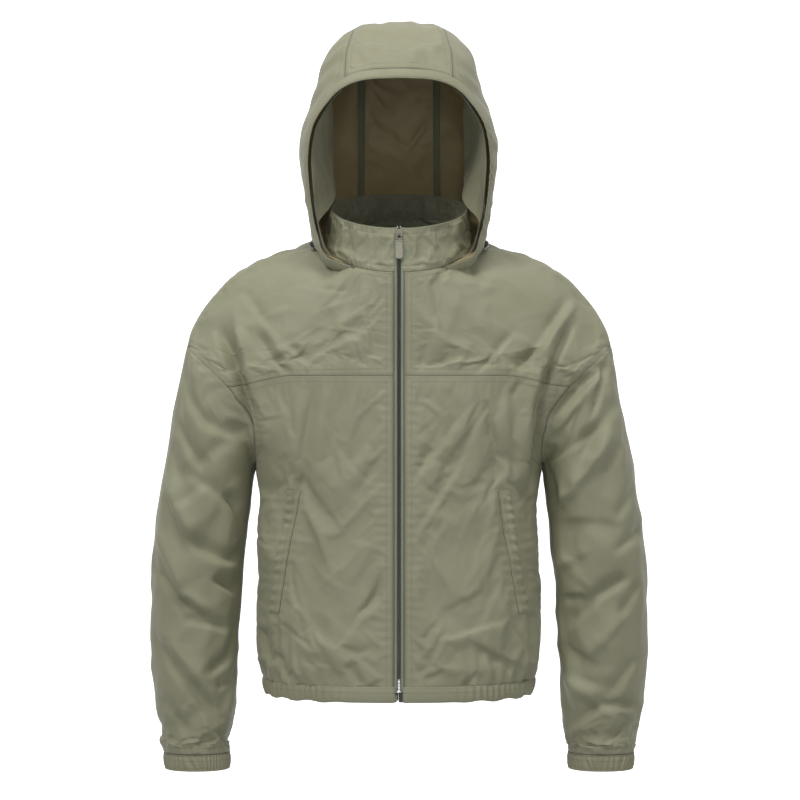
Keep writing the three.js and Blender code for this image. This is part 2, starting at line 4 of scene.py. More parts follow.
import bpy
import numpy as np
from bpy.props import FloatProperty, PointerProperty
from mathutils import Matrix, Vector


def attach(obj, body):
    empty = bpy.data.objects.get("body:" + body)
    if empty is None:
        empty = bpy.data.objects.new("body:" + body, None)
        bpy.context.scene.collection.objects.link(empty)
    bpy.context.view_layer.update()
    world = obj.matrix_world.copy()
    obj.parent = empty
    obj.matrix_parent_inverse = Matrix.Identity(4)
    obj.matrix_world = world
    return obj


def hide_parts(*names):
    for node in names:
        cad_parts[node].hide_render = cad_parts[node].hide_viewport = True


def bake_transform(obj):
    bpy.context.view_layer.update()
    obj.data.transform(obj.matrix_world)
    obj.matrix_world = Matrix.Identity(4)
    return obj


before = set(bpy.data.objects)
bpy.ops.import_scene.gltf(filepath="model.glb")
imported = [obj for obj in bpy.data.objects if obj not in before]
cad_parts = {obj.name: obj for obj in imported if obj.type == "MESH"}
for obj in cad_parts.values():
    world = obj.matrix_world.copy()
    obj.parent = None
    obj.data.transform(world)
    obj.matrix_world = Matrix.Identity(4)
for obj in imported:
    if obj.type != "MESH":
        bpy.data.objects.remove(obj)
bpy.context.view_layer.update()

bl_info = {
    "name": "Hooded Jacket",
    "version": (1, 0, 0),
    "blender": (4, 5, 0),
    "location": "3D View > Sidebar > Jacket",
    "description": "Makes the cloth, zip and trims of a hooded jacket",
    "category": "Add Mesh",
}

MM = 0.001
EYE = (0.0013, -3.1, -0.175)
SENSOR = 36.0
LENS = 109.8
SIDES = (("left", 1), ("right", -1))

# Heights, half widths, back depths, roundness and tilt of the body's level rings, in mm.
LEVEL_Z = np.array([-544, -524, -467.8, -359, -275, -247.9, -202.6, -145.3, -106, -71.1,
                    -41.3, -11.5, 9.2, 23.4])
LEVEL_HALF = np.array([168.2, 171.8, 175.3, 176.2, 177.1, 186.3, 212.3, 245.4, 268, 255.9,
                       234, 201, 155.4, 92])
LEVEL_BACK = np.array([114.1, 116.6, 119.7, 122.1, 124, 125.2, 125.2, 124, 121.5, 117.8,
                       111.6, 102.9, 90.5, 72])
LEVEL_POWER = np.array([2.5, 2.5, 2.5, 2.4, 2.35, 2.3, 2.2, 2.05, 1.95, 1.85, 1.75, 1.65, 1.65,
                        1.95])
LEVEL_TILT = np.array([0, 0, 0, 0, 0, 0.01, 0.03, 0.06, 0.1, 0.15, 0.2, 0.27, 0.33, 0.398])
COLLAR_Z = np.array([23.4, 47.2, 71.0])
COLLAR_HALF = np.array([92, 88.8, 86.9])
COLLAR_BACK = np.array([72, 67, 62.3])
COLLAR_TILT = np.array([0.398, 0.37, 0.3375])

NECK_Z = 23.4
NECK_TILT = 0.398
FRONT_NECK = 104.0
NECK_FRONT_Z = NECK_Z - FRONT_NECK * NECK_TILT
FRONT_LEAN = (133.0 - FRONT_NECK) / (544.0 - 18.0)
HEM_Z = -544.0
HEM_SEAM = -524.0
YOKE_Z = -145.0
FRONT_EDGE = 7.2
ARMHOLE_TOP = np.array([268.0, -106.0])
ARMPIT = np.array([181.0, -257.0])
ARMHOLE_DEEP = 66.0


# ---- numbers ----
def smooth(t):
    """0 below 0, 1 above 1, and an S curve between."""
    t = np.clip(t, 0, 1)
    return t * t * (3 - 2 * t)


def spline(knots, values, t):
    """A curve through the values, with each knot's slope the mean of its two neighbours' slopes."""
    knots = np.asarray(knots, float)
    values = np.asarray(values, float)
    step = np.diff(knots)
    slope = np.diff(values) / step
    tangent = np.empty_like(values)
    tangent[1:-1] = (slope[:-1] * step[1:] + slope[1:] * step[:-1]) / (step[:-1] + step[1:])
    flat = slope[:-1] * slope[1:] <= 0
    tangent[1:-1][flat] = 0
    tangent[0], tangent[-1] = slope[0], slope[-1]
    i = np.clip(np.searchsorted(knots, t) - 1, 0, len(step) - 1)
    h = step[i]
    u = np.clip((t - knots[i]) / h, -0.2, 1.2)
    return ((2 * u**3 - 3 * u**2 + 1) * values[i] + (u**3 - 2 * u**2 + u) * h * tangent[i]
            + (3 * u**2 - 2 * u**3) * values[i + 1] + (u**3 - u**2) * h * tangent[i + 1])


def lattice(ix, iy, iz, seed):
    """A fixed value from -1 to 1 for every whole-number point."""
    n = (ix * 374761393 + iy * 668265263 + iz * 2147483647 + seed * 974711) & 0xFFFFFFFF
    n = ((n ^ (n >> 13)) * 1274126177) & 0xFFFFFFFF
    return ((n ^ (n >> 16)) & 0xFFFF) / 32767.5 - 1


def noise(x, y, z, seed=0):
    """Smoothly varying values: lattice values blended between the eight corners around a point."""
    x, y, z = np.broadcast_arrays(x, y, z)
    ix, iy, iz = (np.floor(a).astype(np.int64) for a in (x, y, z))
    fx, fy, fz = (smooth(a - i) for a, i in ((x, ix), (y, iy), (z, iz)))
    total = 0
    for dx in (0, 1):
        for dy in (0, 1):
            for dz in (0, 1):
                weight = (abs(1 - dx - fx)) * (abs(1 - dy - fy)) * (abs(1 - dz - fz))
                total = total + weight * lattice(ix + dx, iy + dy, iz + dz, seed)
    return total


def normals(grid):
    """Unit normals of a grid of points: rows crossed with columns."""
    down = np.gradient(grid, axis=0)
    along = np.gradient(grid, axis=1)
    n = np.cross(down, along)
    return n / np.maximum(np.linalg.norm(n, axis=2, keepdims=True), 1e-9)


def strokes(x, z, lines):
    """Raised folds. Each line is (x0, z0, x1, z1, half width, height, sag): the height falls off
    across the line as a bell curve, steeper on one side, and towards its ends as an S curve."""
    out = np.zeros(np.broadcast(x, z).shape)
    for x0, z0, x1, z1, wide, high, sag in lines:
        dx, dz = x1 - x0, z1 - z0
        length = math.hypot(dx, dz)
        u = ((x - x0) * dx + (z - z0) * dz) / length**2
        v = ((x - x0) * dz - (z - z0) * dx) / length
        v = v - sag * 4 * u * (1 - u)
        ends = smooth((u + 0.2) / 0.4) * smooth((1.2 - u) / 0.4)
        out += high * ends * np.exp(-(v / np.where(v > 0, wide * 1.25, wide * 0.6)) ** 2)
    return out


# ---- the jacket's shape, in mm ----
def front_at(z):
    """Distance forward of the zip's straight line at height z."""
    return FRONT_NECK + FRONT_LEAN * (NECK_FRONT_Z - z)


def arm_bulge(x, z):
    """Half depth of the sleeve where it runs into the body, from the armhole line inwards."""
    run = ARMHOLE_TOP - ARMPIT
    length = math.hypot(*run)
    mid = (ARMHOLE_TOP + ARMPIT) / 2
    s = ((x - mid[0]) * run[0] + (z - mid[1]) * run[1]) / (length * length / 2)
    inside = -((x - mid[0]) * run[1] - (z - mid[1]) * run[0]) / length
    cosine = np.clip(np.abs(s), 0, 1) ** (1 / 0.92)
    deep = ARMHOLE_DEEP * (1 - cosine**2) ** 0.46
    return deep * (1 - 0.3 * smooth(inside / 110)), inside


def body(level, theta):
    """A point of the body for a level ring and an angle from the front (0) to the back (pi)."""
    half = spline(LEVEL_Z, LEVEL_HALF, level)
    power = spline(LEVEL_Z, LEVEL_POWER, level)
    tilt = spline(LEVEL_Z, LEVEL_TILT, level)
    back = spline(LEVEL_Z, LEVEL_BACK, level)
    front = front_at(level) / (1 - FRONT_LEAN * tilt)
    c, s = np.cos(theta), np.abs(np.sin(theta))
    x = half * s ** (2 / power)
    y = np.where(c > 0, -front, back) * np.abs(c) ** (2 / power)
    z = level + tilt * y
    bulge, inside = arm_bulge(x, z)
    soft = 16 * smooth(inside / 25)
    deep = np.abs(y)
    merged = 0.5 * (deep + bulge + np.sqrt((deep - bulge) ** 2 + soft**2))
    near = smooth((z + 296) / 52) * smooth((-72 - z) / 44) * smooth((170 - inside) / 60)
    y = np.where(c > 0, -1, 1) * (deep + near * (merged - deep))
    return np.stack(np.broadcast_arrays(x * np.sign(np.sin(theta)), y, z), axis=-1)


def level_at(z, theta):
    """The level whose ring passes height z at an angle, found by repeated correction."""
    level = np.broadcast_to(z, np.broadcast(z, theta).shape).astype(float).copy()
    for _ in range(6):
        p = body(level, theta)
        level = level + (z - p[..., 2])
    return level


def theta_at(x, level):
    """The angle at which a ring reaches x, on the front half."""
    half = spline(LEVEL_Z, LEVEL_HALF, level)
    power = spline(LEVEL_Z, LEVEL_POWER, level)
    return np.arcsin(np.clip(x / half, 0, 1) ** (power / 2))


def seam_x(z):
    """Half width of the armhole seam at height z: the armhole's straight line, scooped inwards."""
    share = np.clip((ARMHOLE_TOP[1] - z) / (ARMHOLE_TOP[1] - ARMPIT[1]), 0, 1)
    straight = ARMHOLE_TOP[0] + share * (ARMPIT[0] - ARMHOLE_TOP[0])
    return straight - 30.0 * np.sin(np.pi * share**1.1)


def side_point(x, z, back=False):
    """The body's point at half width x and height z, on its front or its back."""
    x, z = np.broadcast_arrays(np.asarray(x, float), np.asarray(z, float))
    level = z + 0.0
    for _ in range(6):
        theta = theta_at(x, level)
        p = body(level, np.pi - theta if back else theta)
        level = level + (z - p[..., 2])
    return p


def arm_end(level, back=False):
    """The angle at which a level ring meets the armhole seam, or the side where it meets none."""
    level = np.asarray(level, float)
    theta = np.full(level.shape, np.pi / 2 - 1e-6)
    for _ in range(6):
        z = body(level, np.pi - theta if back else theta)[..., 2]
        x = np.where((z < ARMHOLE_TOP[1]) & (z > ARMPIT[1]), seam_x(z), 999.0)
        theta = np.minimum(theta_at(x, level), np.pi / 2 - 1e-6)
    return theta


def yoke_z(x):
    """Height of the yoke seam: level across the chest, dipping towards the arm."""
    return YOKE_Z - 13.0 * smooth((np.abs(x) - 130.0) / 80.0)


def collar_point(t, theta):
    """A point of the stand collar, t from the neck seam (0) to the top edge (1)."""
    level = 23.4 + t * 47.6
    half = np.interp(level, COLLAR_Z, COLLAR_HALF)
    back = np.interp(level, COLLAR_Z, COLLAR_BACK)
    tilt = np.interp(level, COLLAR_Z, COLLAR_TILT)
    front = front_at(level) / (1 - FRONT_LEAN * tilt)
    c, s = np.cos(theta), np.sin(theta)
    x = half * np.sign(s) * np.abs(s)
    y = np.where(c > 0, -front, back) * np.abs(c)
    return np.stack(np.broadcast_arrays(x, y, level + tilt * y), axis=-1)


STATION_T = np.array([0, 0.09, 0.17, 0.25, 0.345, 0.475, 0.62, 0.75, 0.87, 0.96, 1.0])
OUTER_X = np.array([268, 288, 301, 310, 318, 319, 316, 310.7, 304.8, 298.5, 297])
OUTER_Z = np.array([-106, -178.7, -244.3, -302.5, -362.6, -429.9, -500.9, -559.1, -601, -621, -642])
INNER_X = np.array([181, 185, 189, 194, 201, 205.1, 208.7, 211, 212.8, 215, 215])
INNER_Z = np.array([-257, -278.8, -300.7, -329.8, -373.5, -429.9, -500.9, -559.1, -601, -621, -642])
SLEEVE_DEEP = np.array([66, 63.7, 61.4, 59.6, 57.8, 55.5, 51.3, 47.2, 42.5, 37.8, 37.2])


def sleeve(t, phi):
    """A point of the left sleeve: t runs from armhole to wrist, phi from the top round the front."""
    w = np.sign(np.cos(phi)) * np.abs(np.cos(phi)) ** 0.92
    d = np.sign(np.sin(phi)) * np.abs(np.sin(phi)) ** 0.92
    ox, oz = spline(STATION_T, OUTER_X, t), spline(STATION_T, OUTER_Z, t)
    ix, iz = spline(STATION_T, INNER_X, t), spline(STATION_T, INNER_Z, t)
    x = (ox + ix) / 2 + (ox - ix) / 2 * w
    z = (oz + iz) / 2 + (oz - iz) / 2 * w
    y = -spline(STATION_T, SLEEVE_DEEP, t) * d
    return np.stack(np.broadcast_arrays(x, y, z), axis=-1)


HOOD_T = np.array([0, 0.025, 0.1, 0.19, 0.28, 0.37, 0.5, 0.6, 0.69, 0.775, 0.84, 0.9, 0.955, 0.99])
HOOD_LEVEL = NECK_Z + 286 * HOOD_T
HOOD_HALF = np.array([94.3, 103.3, 111.4, 117.7, 121.8, 124.5, 121.4, 112, 104.3, 98.4, 92.1,
                      78.4, 58.5, 29.9])
HOOD_FRONT = np.array([106.3, 110, 113, 116, 117, 117, 116, 111, 101, 88, 74, 53, 28, 6.0])
HOOD_BACK = np.array([74.3, 79.4, 90.7, 103.3, 113.4, 121, 126, 124.7, 118.4, 108.4, 95.8, 78.1,
                      56.7, 32.8])
HOOD_POWER = np.array([2, 3, 3.2, 3.2, 3.1, 3, 2.9, 2.7, 2.6, 2.5, 2.5, 2.4, 2.3, 2.2])
HOOD_TILT = np.array([0.398, 0.38, 0.3, 0.2, 0.1, 0.04, 0, 0, 0, 0, 0, 0, 0, 0])
FAN_Y, FAN_Z = -85.0, -10.4
FAN_NECK = math.atan(NECK_TILT)
TIP_X = 57.0
RIM_HEIGHT = np.array([-10, 20, 60, 130, 180, 220])
RIM_ANGLE = np.radians([58, 73, 81, 85.5, 89, 94])


def hood_outside(x, y, z):
    """Below 0 inside the hood's form, above 0 outside: how far out of its level ring a point is."""
    level = np.clip(z, HOOD_LEVEL[0] - 60, 330)
    for _ in range(4):
        level = z - np.interp(level, HOOD_LEVEL, HOOD_TILT) * y
    half = spline(HOOD_LEVEL, HOOD_HALF, np.maximum(level, NECK_Z))
    closing = np.sqrt(np.clip((309.5 - level) / 6, 0, 1))
    half = half * closing
    deep = np.where(y < 0, spline(HOOD_LEVEL, HOOD_FRONT, np.maximum(level, NECK_Z)),
                    spline(HOOD_LEVEL, HOOD_BACK, np.maximum(level, NECK_Z))) * closing
    power = np.interp(level, HOOD_LEVEL, HOOD_POWER)
    return ((np.abs(x) / np.maximum(half, 1)) ** power
            + (np.abs(y) / np.maximum(deep, 1)) ** power - 1)


def reach(ox, oy, oz, dx, dy, dz, far=420.0):
    """Distance along a ray at which it leaves the hood's form, by halving the interval."""
    low = np.zeros(np.broadcast(ox, oy, oz, dx, dy, dz).shape)
    high = np.full_like(low, far)
    for _ in range(26):
        mid = (low + high) / 2
        out = hood_outside(ox + dx * mid, oy + dy * mid, oz + dz * mid) > 0
        high = np.where(out, mid, high)
        low = np.where(out, low, mid)
    return low


def fan_arc(alpha, s):
    """A point of the hood on the half plane at angle alpha through the line between its front
    tips; s runs along the arc from one tip (-1) over the top (0) to the other (1)."""
    alpha, s = np.broadcast_arrays(np.asarray(alpha, float), np.asarray(s, float))
    ey, ez = np.cos(alpha), np.sin(alpha)
    top = reach(0.0, FAN_Y + 20 * ey, FAN_Z + 20 * ez, 0.0, ey, ez) + 20
    centre = 0.5 * top
    psi = s * (np.pi - np.arctan2(TIP_X, centre))
    dx, dr = np.sin(psi), np.cos(psi)
    cy, cz = FAN_Y + centre * ey, FAN_Z + centre * ez
    r = reach(0.0, cy, cz, dx, dr * ey, dr * ez)
    edge = smooth((np.abs(s) - 0.9) / 0.1)
    tip = np.hypot(TIP_X, centre)
    r = r + (tip - r) * edge
    rho = centre + r * dr
    return np.stack([r * dx, FAN_Y + rho * ey, FAN_Z + rho * ez], axis=-1)


def rim_alpha(s):
    """The fan angle of the face edge along the arc, found by repeated correction of its height."""
    alpha = np.full(np.shape(s), 1.5)
    for _ in range(4):
        alpha = np.interp(fan_arc(alpha, s)[..., 2], RIM_HEIGHT, RIM_ANGLE)
    return alpha


def hood(v, s):
    """A point of the hood, v from the face edge (0) to the neck seam (1), s along the arc."""
    v, s = np.broadcast_arrays(v, s)
    rim = rim_alpha(s[0])[None, :] if s.ndim == 2 and np.ptp(s, axis=0).max() == 0 else rim_alpha(s)
    return fan_arc(rim + (FAN_NECK - rim) * v, s)


def seam_s(v, seam_x):
    """Where along the arc the seam beside the centre panel runs."""
    low, high = np.full(np.shape(v), 0.02), np.full(np.shape(v), 0.5)
    for _ in range(14):
        mid = (low + high) / 2
        wide = hood(v, mid)[..., 0] > seam_x
        high = np.where(wide, mid, high)
        low = np.where(wide, low, mid)
    return (low + high) / 2


# ---- meshes ----
def quads(rows, cols, closed=False):
    """Vertex numbers of a grid's faces, wrapping round from last column to first when closed."""
    r, c = np.meshgrid(np.arange(rows - 1), np.arange(cols if closed else cols - 1), indexing="ij")
    nxt = (c + 1) % cols
    faces = np.stack([r * cols + c, (r + 1) * cols + c, (r + 1) * cols + nxt, r * cols + nxt], axis=-1)
    return faces.reshape(-1, 4)


def mesh_object(name, points, faces, materials, values=None, flip=False):
    """An object from points in mm and faces; values are numbers kept on every point."""
    faces = np.asarray(faces)
    if flip:
        faces = faces[:, ::-1]
    mesh = bpy.data.meshes.new(name)
    mesh.vertices.add(len(points))
    mesh.vertices.foreach_set("co", (np.asarray(points) * MM).astype(np.float32).ravel())
    mesh.loops.add(faces.size)
    mesh.loops.foreach_set("vertex_index", faces.astype(np.int32).ravel())
    mesh.polygons.add(len(faces))
    mesh.polygons.foreach_set("loop_start", np.arange(0, faces.size, faces.shape[1], dtype=np.int32))
    mesh.update(calc_edges=True)
    mesh.polygons.foreach_set("use_smooth", np.ones(len(faces), bool))
    for key, numbers in (values or {}).items():
        layer = mesh.attributes.new(key, "FLOAT", "POINT")
        layer.data.foreach_set("value", np.asarray(numbers, np.float32).ravel())
    for material in materials:
        mesh.materials.append(material)
    mesh.validate()
    obj = bpy.data.objects.new(name, mesh)
    bpy.context.scene.collection.objects.link(obj)
    return obj


def run_lengths(grid):
    """Length in mm along each row and down each column of a grid."""
    across = np.linalg.norm(np.diff(grid, axis=1), axis=2)
    downs = np.linalg.norm(np.diff(grid, axis=0), axis=2)
    zero_col = np.zeros((grid.shape[0], 1))
    zero_row = np.zeros((1, grid.shape[1]))
    return (np.concatenate([zero_col, np.cumsum(across, axis=1)], axis=1),
            np.concatenate([zero_row, np.cumsum(downs, axis=0)], axis=0))


def edge_values(grid, stitched):
    """Distance to the nearest stitched edge, and length along that edge, in mm. The edges are
    named t, b, l and r for first row, last row, first column and last column."""
    across, downs = run_lengths(grid)
    choices = {"t": (downs, across), "b": (downs[-1:] - downs, across),
               "l": (across, downs), "r": (across[:, -1:] - across, downs)}
    gap = np.full(grid.shape[:2], 200.0)
    run = np.zeros(grid.shape[:2])
    for key in stitched:
        near, along = choices[key]
        closer = near < gap
        gap = np.where(closer, near, gap)
        run = np.where(closer, along, run)
    return gap, run


def pucker(gap, run, seed, high=0.9, reach_mm=10.0, pitch=11.0):
    """Small ripples beside a stitched edge, dying out away from it."""
    wave = np.sin(2 * np.pi * (run + 5 * noise(run / 31.0, 0.0, 0.0, seed)) / pitch)
    patchy = 0.5 + 0.5 * noise(run / 47.0, gap / 40.0, 0.0, seed + 3)
    return high * wave * patchy * np.exp(-gap / reach_mm) * smooth(gap / 2.5)


def pinned(grid):
    """1 within 3 mm of a grid's edges, falling to 0 at 17 mm: how firmly the cloth is held."""
    gap, _ = edge_values(grid, "tblr")
    return 1 - smooth((gap - 3) / 14)


def flat_area(grid):
    """Area in square metres of a grid of points in mm."""
    a = grid[1:, 1:] - grid[:-1, :-1]
    b = grid[1:, :-1] - grid[:-1, 1:]
    return float(np.linalg.norm(np.cross(a, b), axis=2).sum() / 2 * MM * MM)


def settle(obj, pins, growth, pressure, frames, cap):
    """Lets Blender's cloth buckle a piece cut slightly too large for its pinned edges, then keeps
    the result. No point ends more than cap mm from where it began."""
    scene = bpy.context.scene
    mesh = obj.data
    group = obj.vertex_groups.new(name="pins")
    for weight in np.unique(np.round(pins, 2)):
        if weight > 0:
            members = np.nonzero(np.round(pins, 2) == weight)[0]
            group.add(members.tolist(), float(weight), "REPLACE")
    modifier = obj.modifiers.new("cloth", "CLOTH")
    cloth = modifier.settings
    cloth.quality = 4
    cloth.mass = 0.15
    cloth.air_damping = 4
    cloth.tension_stiffness = 15
    cloth.compression_stiffness = 15
    cloth.shear_stiffness = 5
    cloth.bending_stiffness = 0.05
    cloth.vertex_group_mass = "pins"
    cloth.pin_stiffness = 1.0
    cloth.shrink_min = -growth
    cloth.shrink_max = -growth
    cloth.use_pressure = pressure != 0
    cloth.uniform_pressure_force = pressure
    cloth.effector_weights.gravity = 0.15
    modifier.collision_settings.use_collision = False
    modifier.collision_settings.use_self_collision = False
    modifier.point_cache.frame_start = 1
    modifier.point_cache.frame_end = frames + 1
    start = np.empty(len(mesh.vertices) * 3, np.float32)
    mesh.vertices.foreach_get("co", start)
    for step in range(1, frames + 1):
        scene.frame_set(step)
    evaluated = obj.evaluated_get(bpy.context.evaluated_depsgraph_get())
    end = np.empty_like(start)
    evaluated.data.vertices.foreach_get("co", end)
    scene.frame_set(1)
    obj.modifiers.remove(modifier)
    move = (end - start).reshape(-1, 3)
    length = np.linalg.norm(move, axis=1, keepdims=True)
    limit = cap * MM
    move *= np.where(length > 1e-9, limit * np.tanh(length / limit) / np.maximum(length, 1e-9), 0)
    mesh.vertices.foreach_set("co", (start.reshape(-1, 3) + move).astype(np.float32).ravel())
    mesh.update()


def finish_cloth(obj, thick=0.7, levels=1):
    """Gives a cloth surface its thickness inwards, and one subdivision."""
    solid = obj.modifiers.new("thickness", "SOLIDIFY")
    solid.thickness = thick * MM
    solid.offset = -1
    solid.use_even_offset = False
    if len(obj.data.materials) > 1:
        solid.material_offset = 1
        solid.material_offset_rim = 0
    if levels:
        sub = obj.modifiers.new("subdivision", "SUBSURF")
        sub.levels = levels
        sub.render_levels = levels


def broad_normals(grid):
    """A grid's normals, each averaged with its neighbours' ten times over."""
    n = normals(grid)
    for _ in range(10):
        p = np.pad(n, ((1, 1), (1, 1), (0, 0)), mode="edge")
        n = 2 * n + p[:-2, 1:-1] + p[2:, 1:-1] + p[1:-1, :-2] + p[1:-1, 2:]
        n /= np.linalg.norm(n, axis=2, keepdims=True)
    return n


def soften(grid, offset):
    """Moves a grid's points out along its broad normals by offset, one number or one a point."""
    return grid + broad_normals(grid) * np.asarray(offset)[..., None]


def crumple(a, b, seed, size=30.0):
    """Sharp-edged creases of thin cloth at two scales, from the folded-over halves of a noise."""
    large = 0.35 - np.abs(noise(a / size, b / (2.2 * size), 0.0, seed))
    small = 0.35 - np.abs(noise((a + b) / (0.6 * size), (a - b) / (1.6 * size), 5.0, seed + 7))
    return large + 0.5 * small


def turned(grid, side):
    """The grid for the wearer's left (1) or, mirrored, for the right (-1)."""
    return grid * np.array([side, 1, 1])


def rounded_box(centre, half, power=5.0, rows=14, cols=28):
    """A box with rounded edges: |x/a| to the power, plus the same for y and z, makes 1."""
    v = np.linspace(0, np.pi, rows)[:, None]
    u = np.linspace(0, 2 * np.pi, cols, endpoint=False)[None, :]
    d = np.stack(np.broadcast_arrays(np.sin(v) * np.cos(u), np.sin(v) * np.sin(u), np.cos(v)), axis=-1)
    scale = (np.abs(d) ** power).sum(axis=2, keepdims=True) ** (-1 / power)
    return d * scale * np.asarray(half) + np.asarray(centre), quads(rows, cols, closed=True)


def rod(points, radius, sides=14):
    """A round rod along a line of points, closed at both ends by shrinking to its centre line."""
    points = np.asarray(points, float)
    ends = np.concatenate([points[:1], points, points[-1:]])
    radii = np.concatenate([[0.01], np.broadcast_to(radius, len(points)), [0.01]])
    tangent = np.gradient(points, axis=0)
    tangent = np.concatenate([tangent[:1], tangent, tangent[-1:]])
    tangent /= np.linalg.norm(tangent, axis=1, keepdims=True)
    guide = np.array([0.0, 1.0, 0.0]) if abs(tangent[:, 1]).max() < 0.9 else np.array([1.0, 0, 0])
    a = np.cross(tangent, guide)
    a /= np.linalg.norm(a, axis=1, keepdims=True)
    b = np.cross(tangent, a)
    u = np.linspace(0, 2 * np.pi, sides, endpoint=False)
    ring = a[:, None, :] * np.cos(u)[None, :, None] + b[:, None, :] * np.sin(u)[None, :, None]
    grid = ends[:, None, :] + ring * radii[:, None, None]
    return grid.reshape(-1, 3), quads(len(ends), sides, closed=True)[:, ::-1]


def turned_profile(profile, sides=28):
    """A solid of revolution about Y from pairs of radius and distance along -Y."""
    profile = np.asarray(profile, float)
    u = np.linspace(0, 2 * np.pi, sides, endpoint=False)
    r, y = profile[:, 0][:, None], profile[:, 1][:, None]
    grid = np.stack(np.broadcast_arrays(r * np.cos(u), -y, r * np.sin(u)), axis=-1)
    return grid.reshape(-1, 3), quads(len(profile), sides, closed=True)


def joined(parts):
    """One set of points and faces from several."""
    points, faces, count = [], [], 0
    for p, f in parts:
        p = np.asarray(p).reshape(-1, 3)
        points.append(p)
        faces.append(np.asarray(f) + count)
        count += len(p)
    return np.concatenate(points), np.concatenate(faces)


def on_front(points):
    """From the zip's own frame (x across, y into the cloth, z up the front edge) to the jacket's."""
    points = np.asarray(points, float).reshape(-1, 3)
    a = math.atan(FRONT_LEAN)
    y = points[:, 1] * math.cos(a) + points[:, 2] * math.sin(a) - FRONT_NECK
    z = -points[:, 1] * math.sin(a) + points[:, 2] * math.cos(a) + NECK_FRONT_Z
    return np.stack([points[:, 0], y, z], axis=1)


# ---- materials ----
class Wire:
    """A node socket that adds maths nodes when used in an expression."""

    def __init__(self, tree, socket):
        self.tree, self.socket = tree, socket

    def math(self, operation, *others):
        node = self.tree.nodes.new("ShaderNodeMath")
        node.operation = operation
        for slot, value in enumerate((self, *others)):
            if isinstance(value, Wire):
                self.tree.links.new(value.socket, node.inputs[slot])
            else:
                node.inputs[slot].default_value = value
        return Wire(self.tree, node.outputs[0])

    def __add__(self, other):
        return self.math("ADD", other)

    def __mul__(self, other):
        return self.math("MULTIPLY", other)

    def __sub__(self, other):
        return self.math("SUBTRACT", other)

    def __truediv__(self, other):
        return self.math("DIVIDE", other)

    def __rsub__(self, other):
        return (self * -1.0) + other

    __radd__ = __add__
    __rmul__ = __mul__


class Surface:
    """A material under construction."""

    def __init__(self, name, roughness=0.6, metallic=0.0, sheen=0.0, specular=0.5):
        self.material = bpy.data.materials.new(name)
        self.material.use_nodes = True
        self.tree = self.material.node_tree
        self.shader = self.tree.nodes["Principled BSDF"]
        self.shader.inputs["Roughness"].default_value = roughness
        self.shader.inputs["Metallic"].default_value = metallic
        self.shader.inputs["Sheen Weight"].default_value = sheen
        self.shader.inputs["Sheen Roughness"].default_value = 0.4
        self.shader.inputs["Specular IOR Level"].default_value = specular

    def node(self, kind, settings=None, **inputs):
        node = self.tree.nodes.new("ShaderNode" + kind)
        for key, value in (settings or {}).items():
            setattr(node, key, value)
        for key, value in inputs.items():
            slot = node.inputs[key.replace("_", " ")]
            if isinstance(value, Wire):
                self.tree.links.new(value.socket, slot)
            else:
                slot.default_value = value
        return node

    def wire(self, node, output=0):
        return Wire(self.tree, node.outputs[output])

    def value(self, name):
        node = self.node("Attribute", {"attribute_name": name})
        return Wire(self.tree, node.outputs["Fac"])

    def mix(self, factor, first, second):
        node = self.node("Mix", {"data_type": "RGBA"})
        for slot, value in ((0, factor), (6, first), (7, second)):
            if isinstance(value, Wire):
                self.tree.links.new(value.socket, node.inputs[slot])
            else:
                node.inputs[slot].default_value = value
        return Wire(self.tree, node.outputs[2])

    def plug(self, name, wire):
        self.tree.links.new(wire.socket, self.shader.inputs[name])

    def coordinates(self, scale):
        place = self.node("TexCoord")
        return self.wire(self.node("Mapping", None, Vector=Wire(self.tree, place.outputs["Object"]),
                                   Scale=scale))

    def bump(self, height, distance, strength=1.0):
        node = self.node("Bump", None, Height=height, Distance=distance, Strength=strength)
        self.plug("Normal", self.wire(node))


def linear(rgb):
    """Linear colour from the 0 to 255 values seen on a screen."""
    c = np.asarray(rgb, float) / 255
    c = np.where(c <= 0.04045, c / 12.92, ((c + 0.055) / 1.055) ** 2.4)
    return (*c, 1.0)


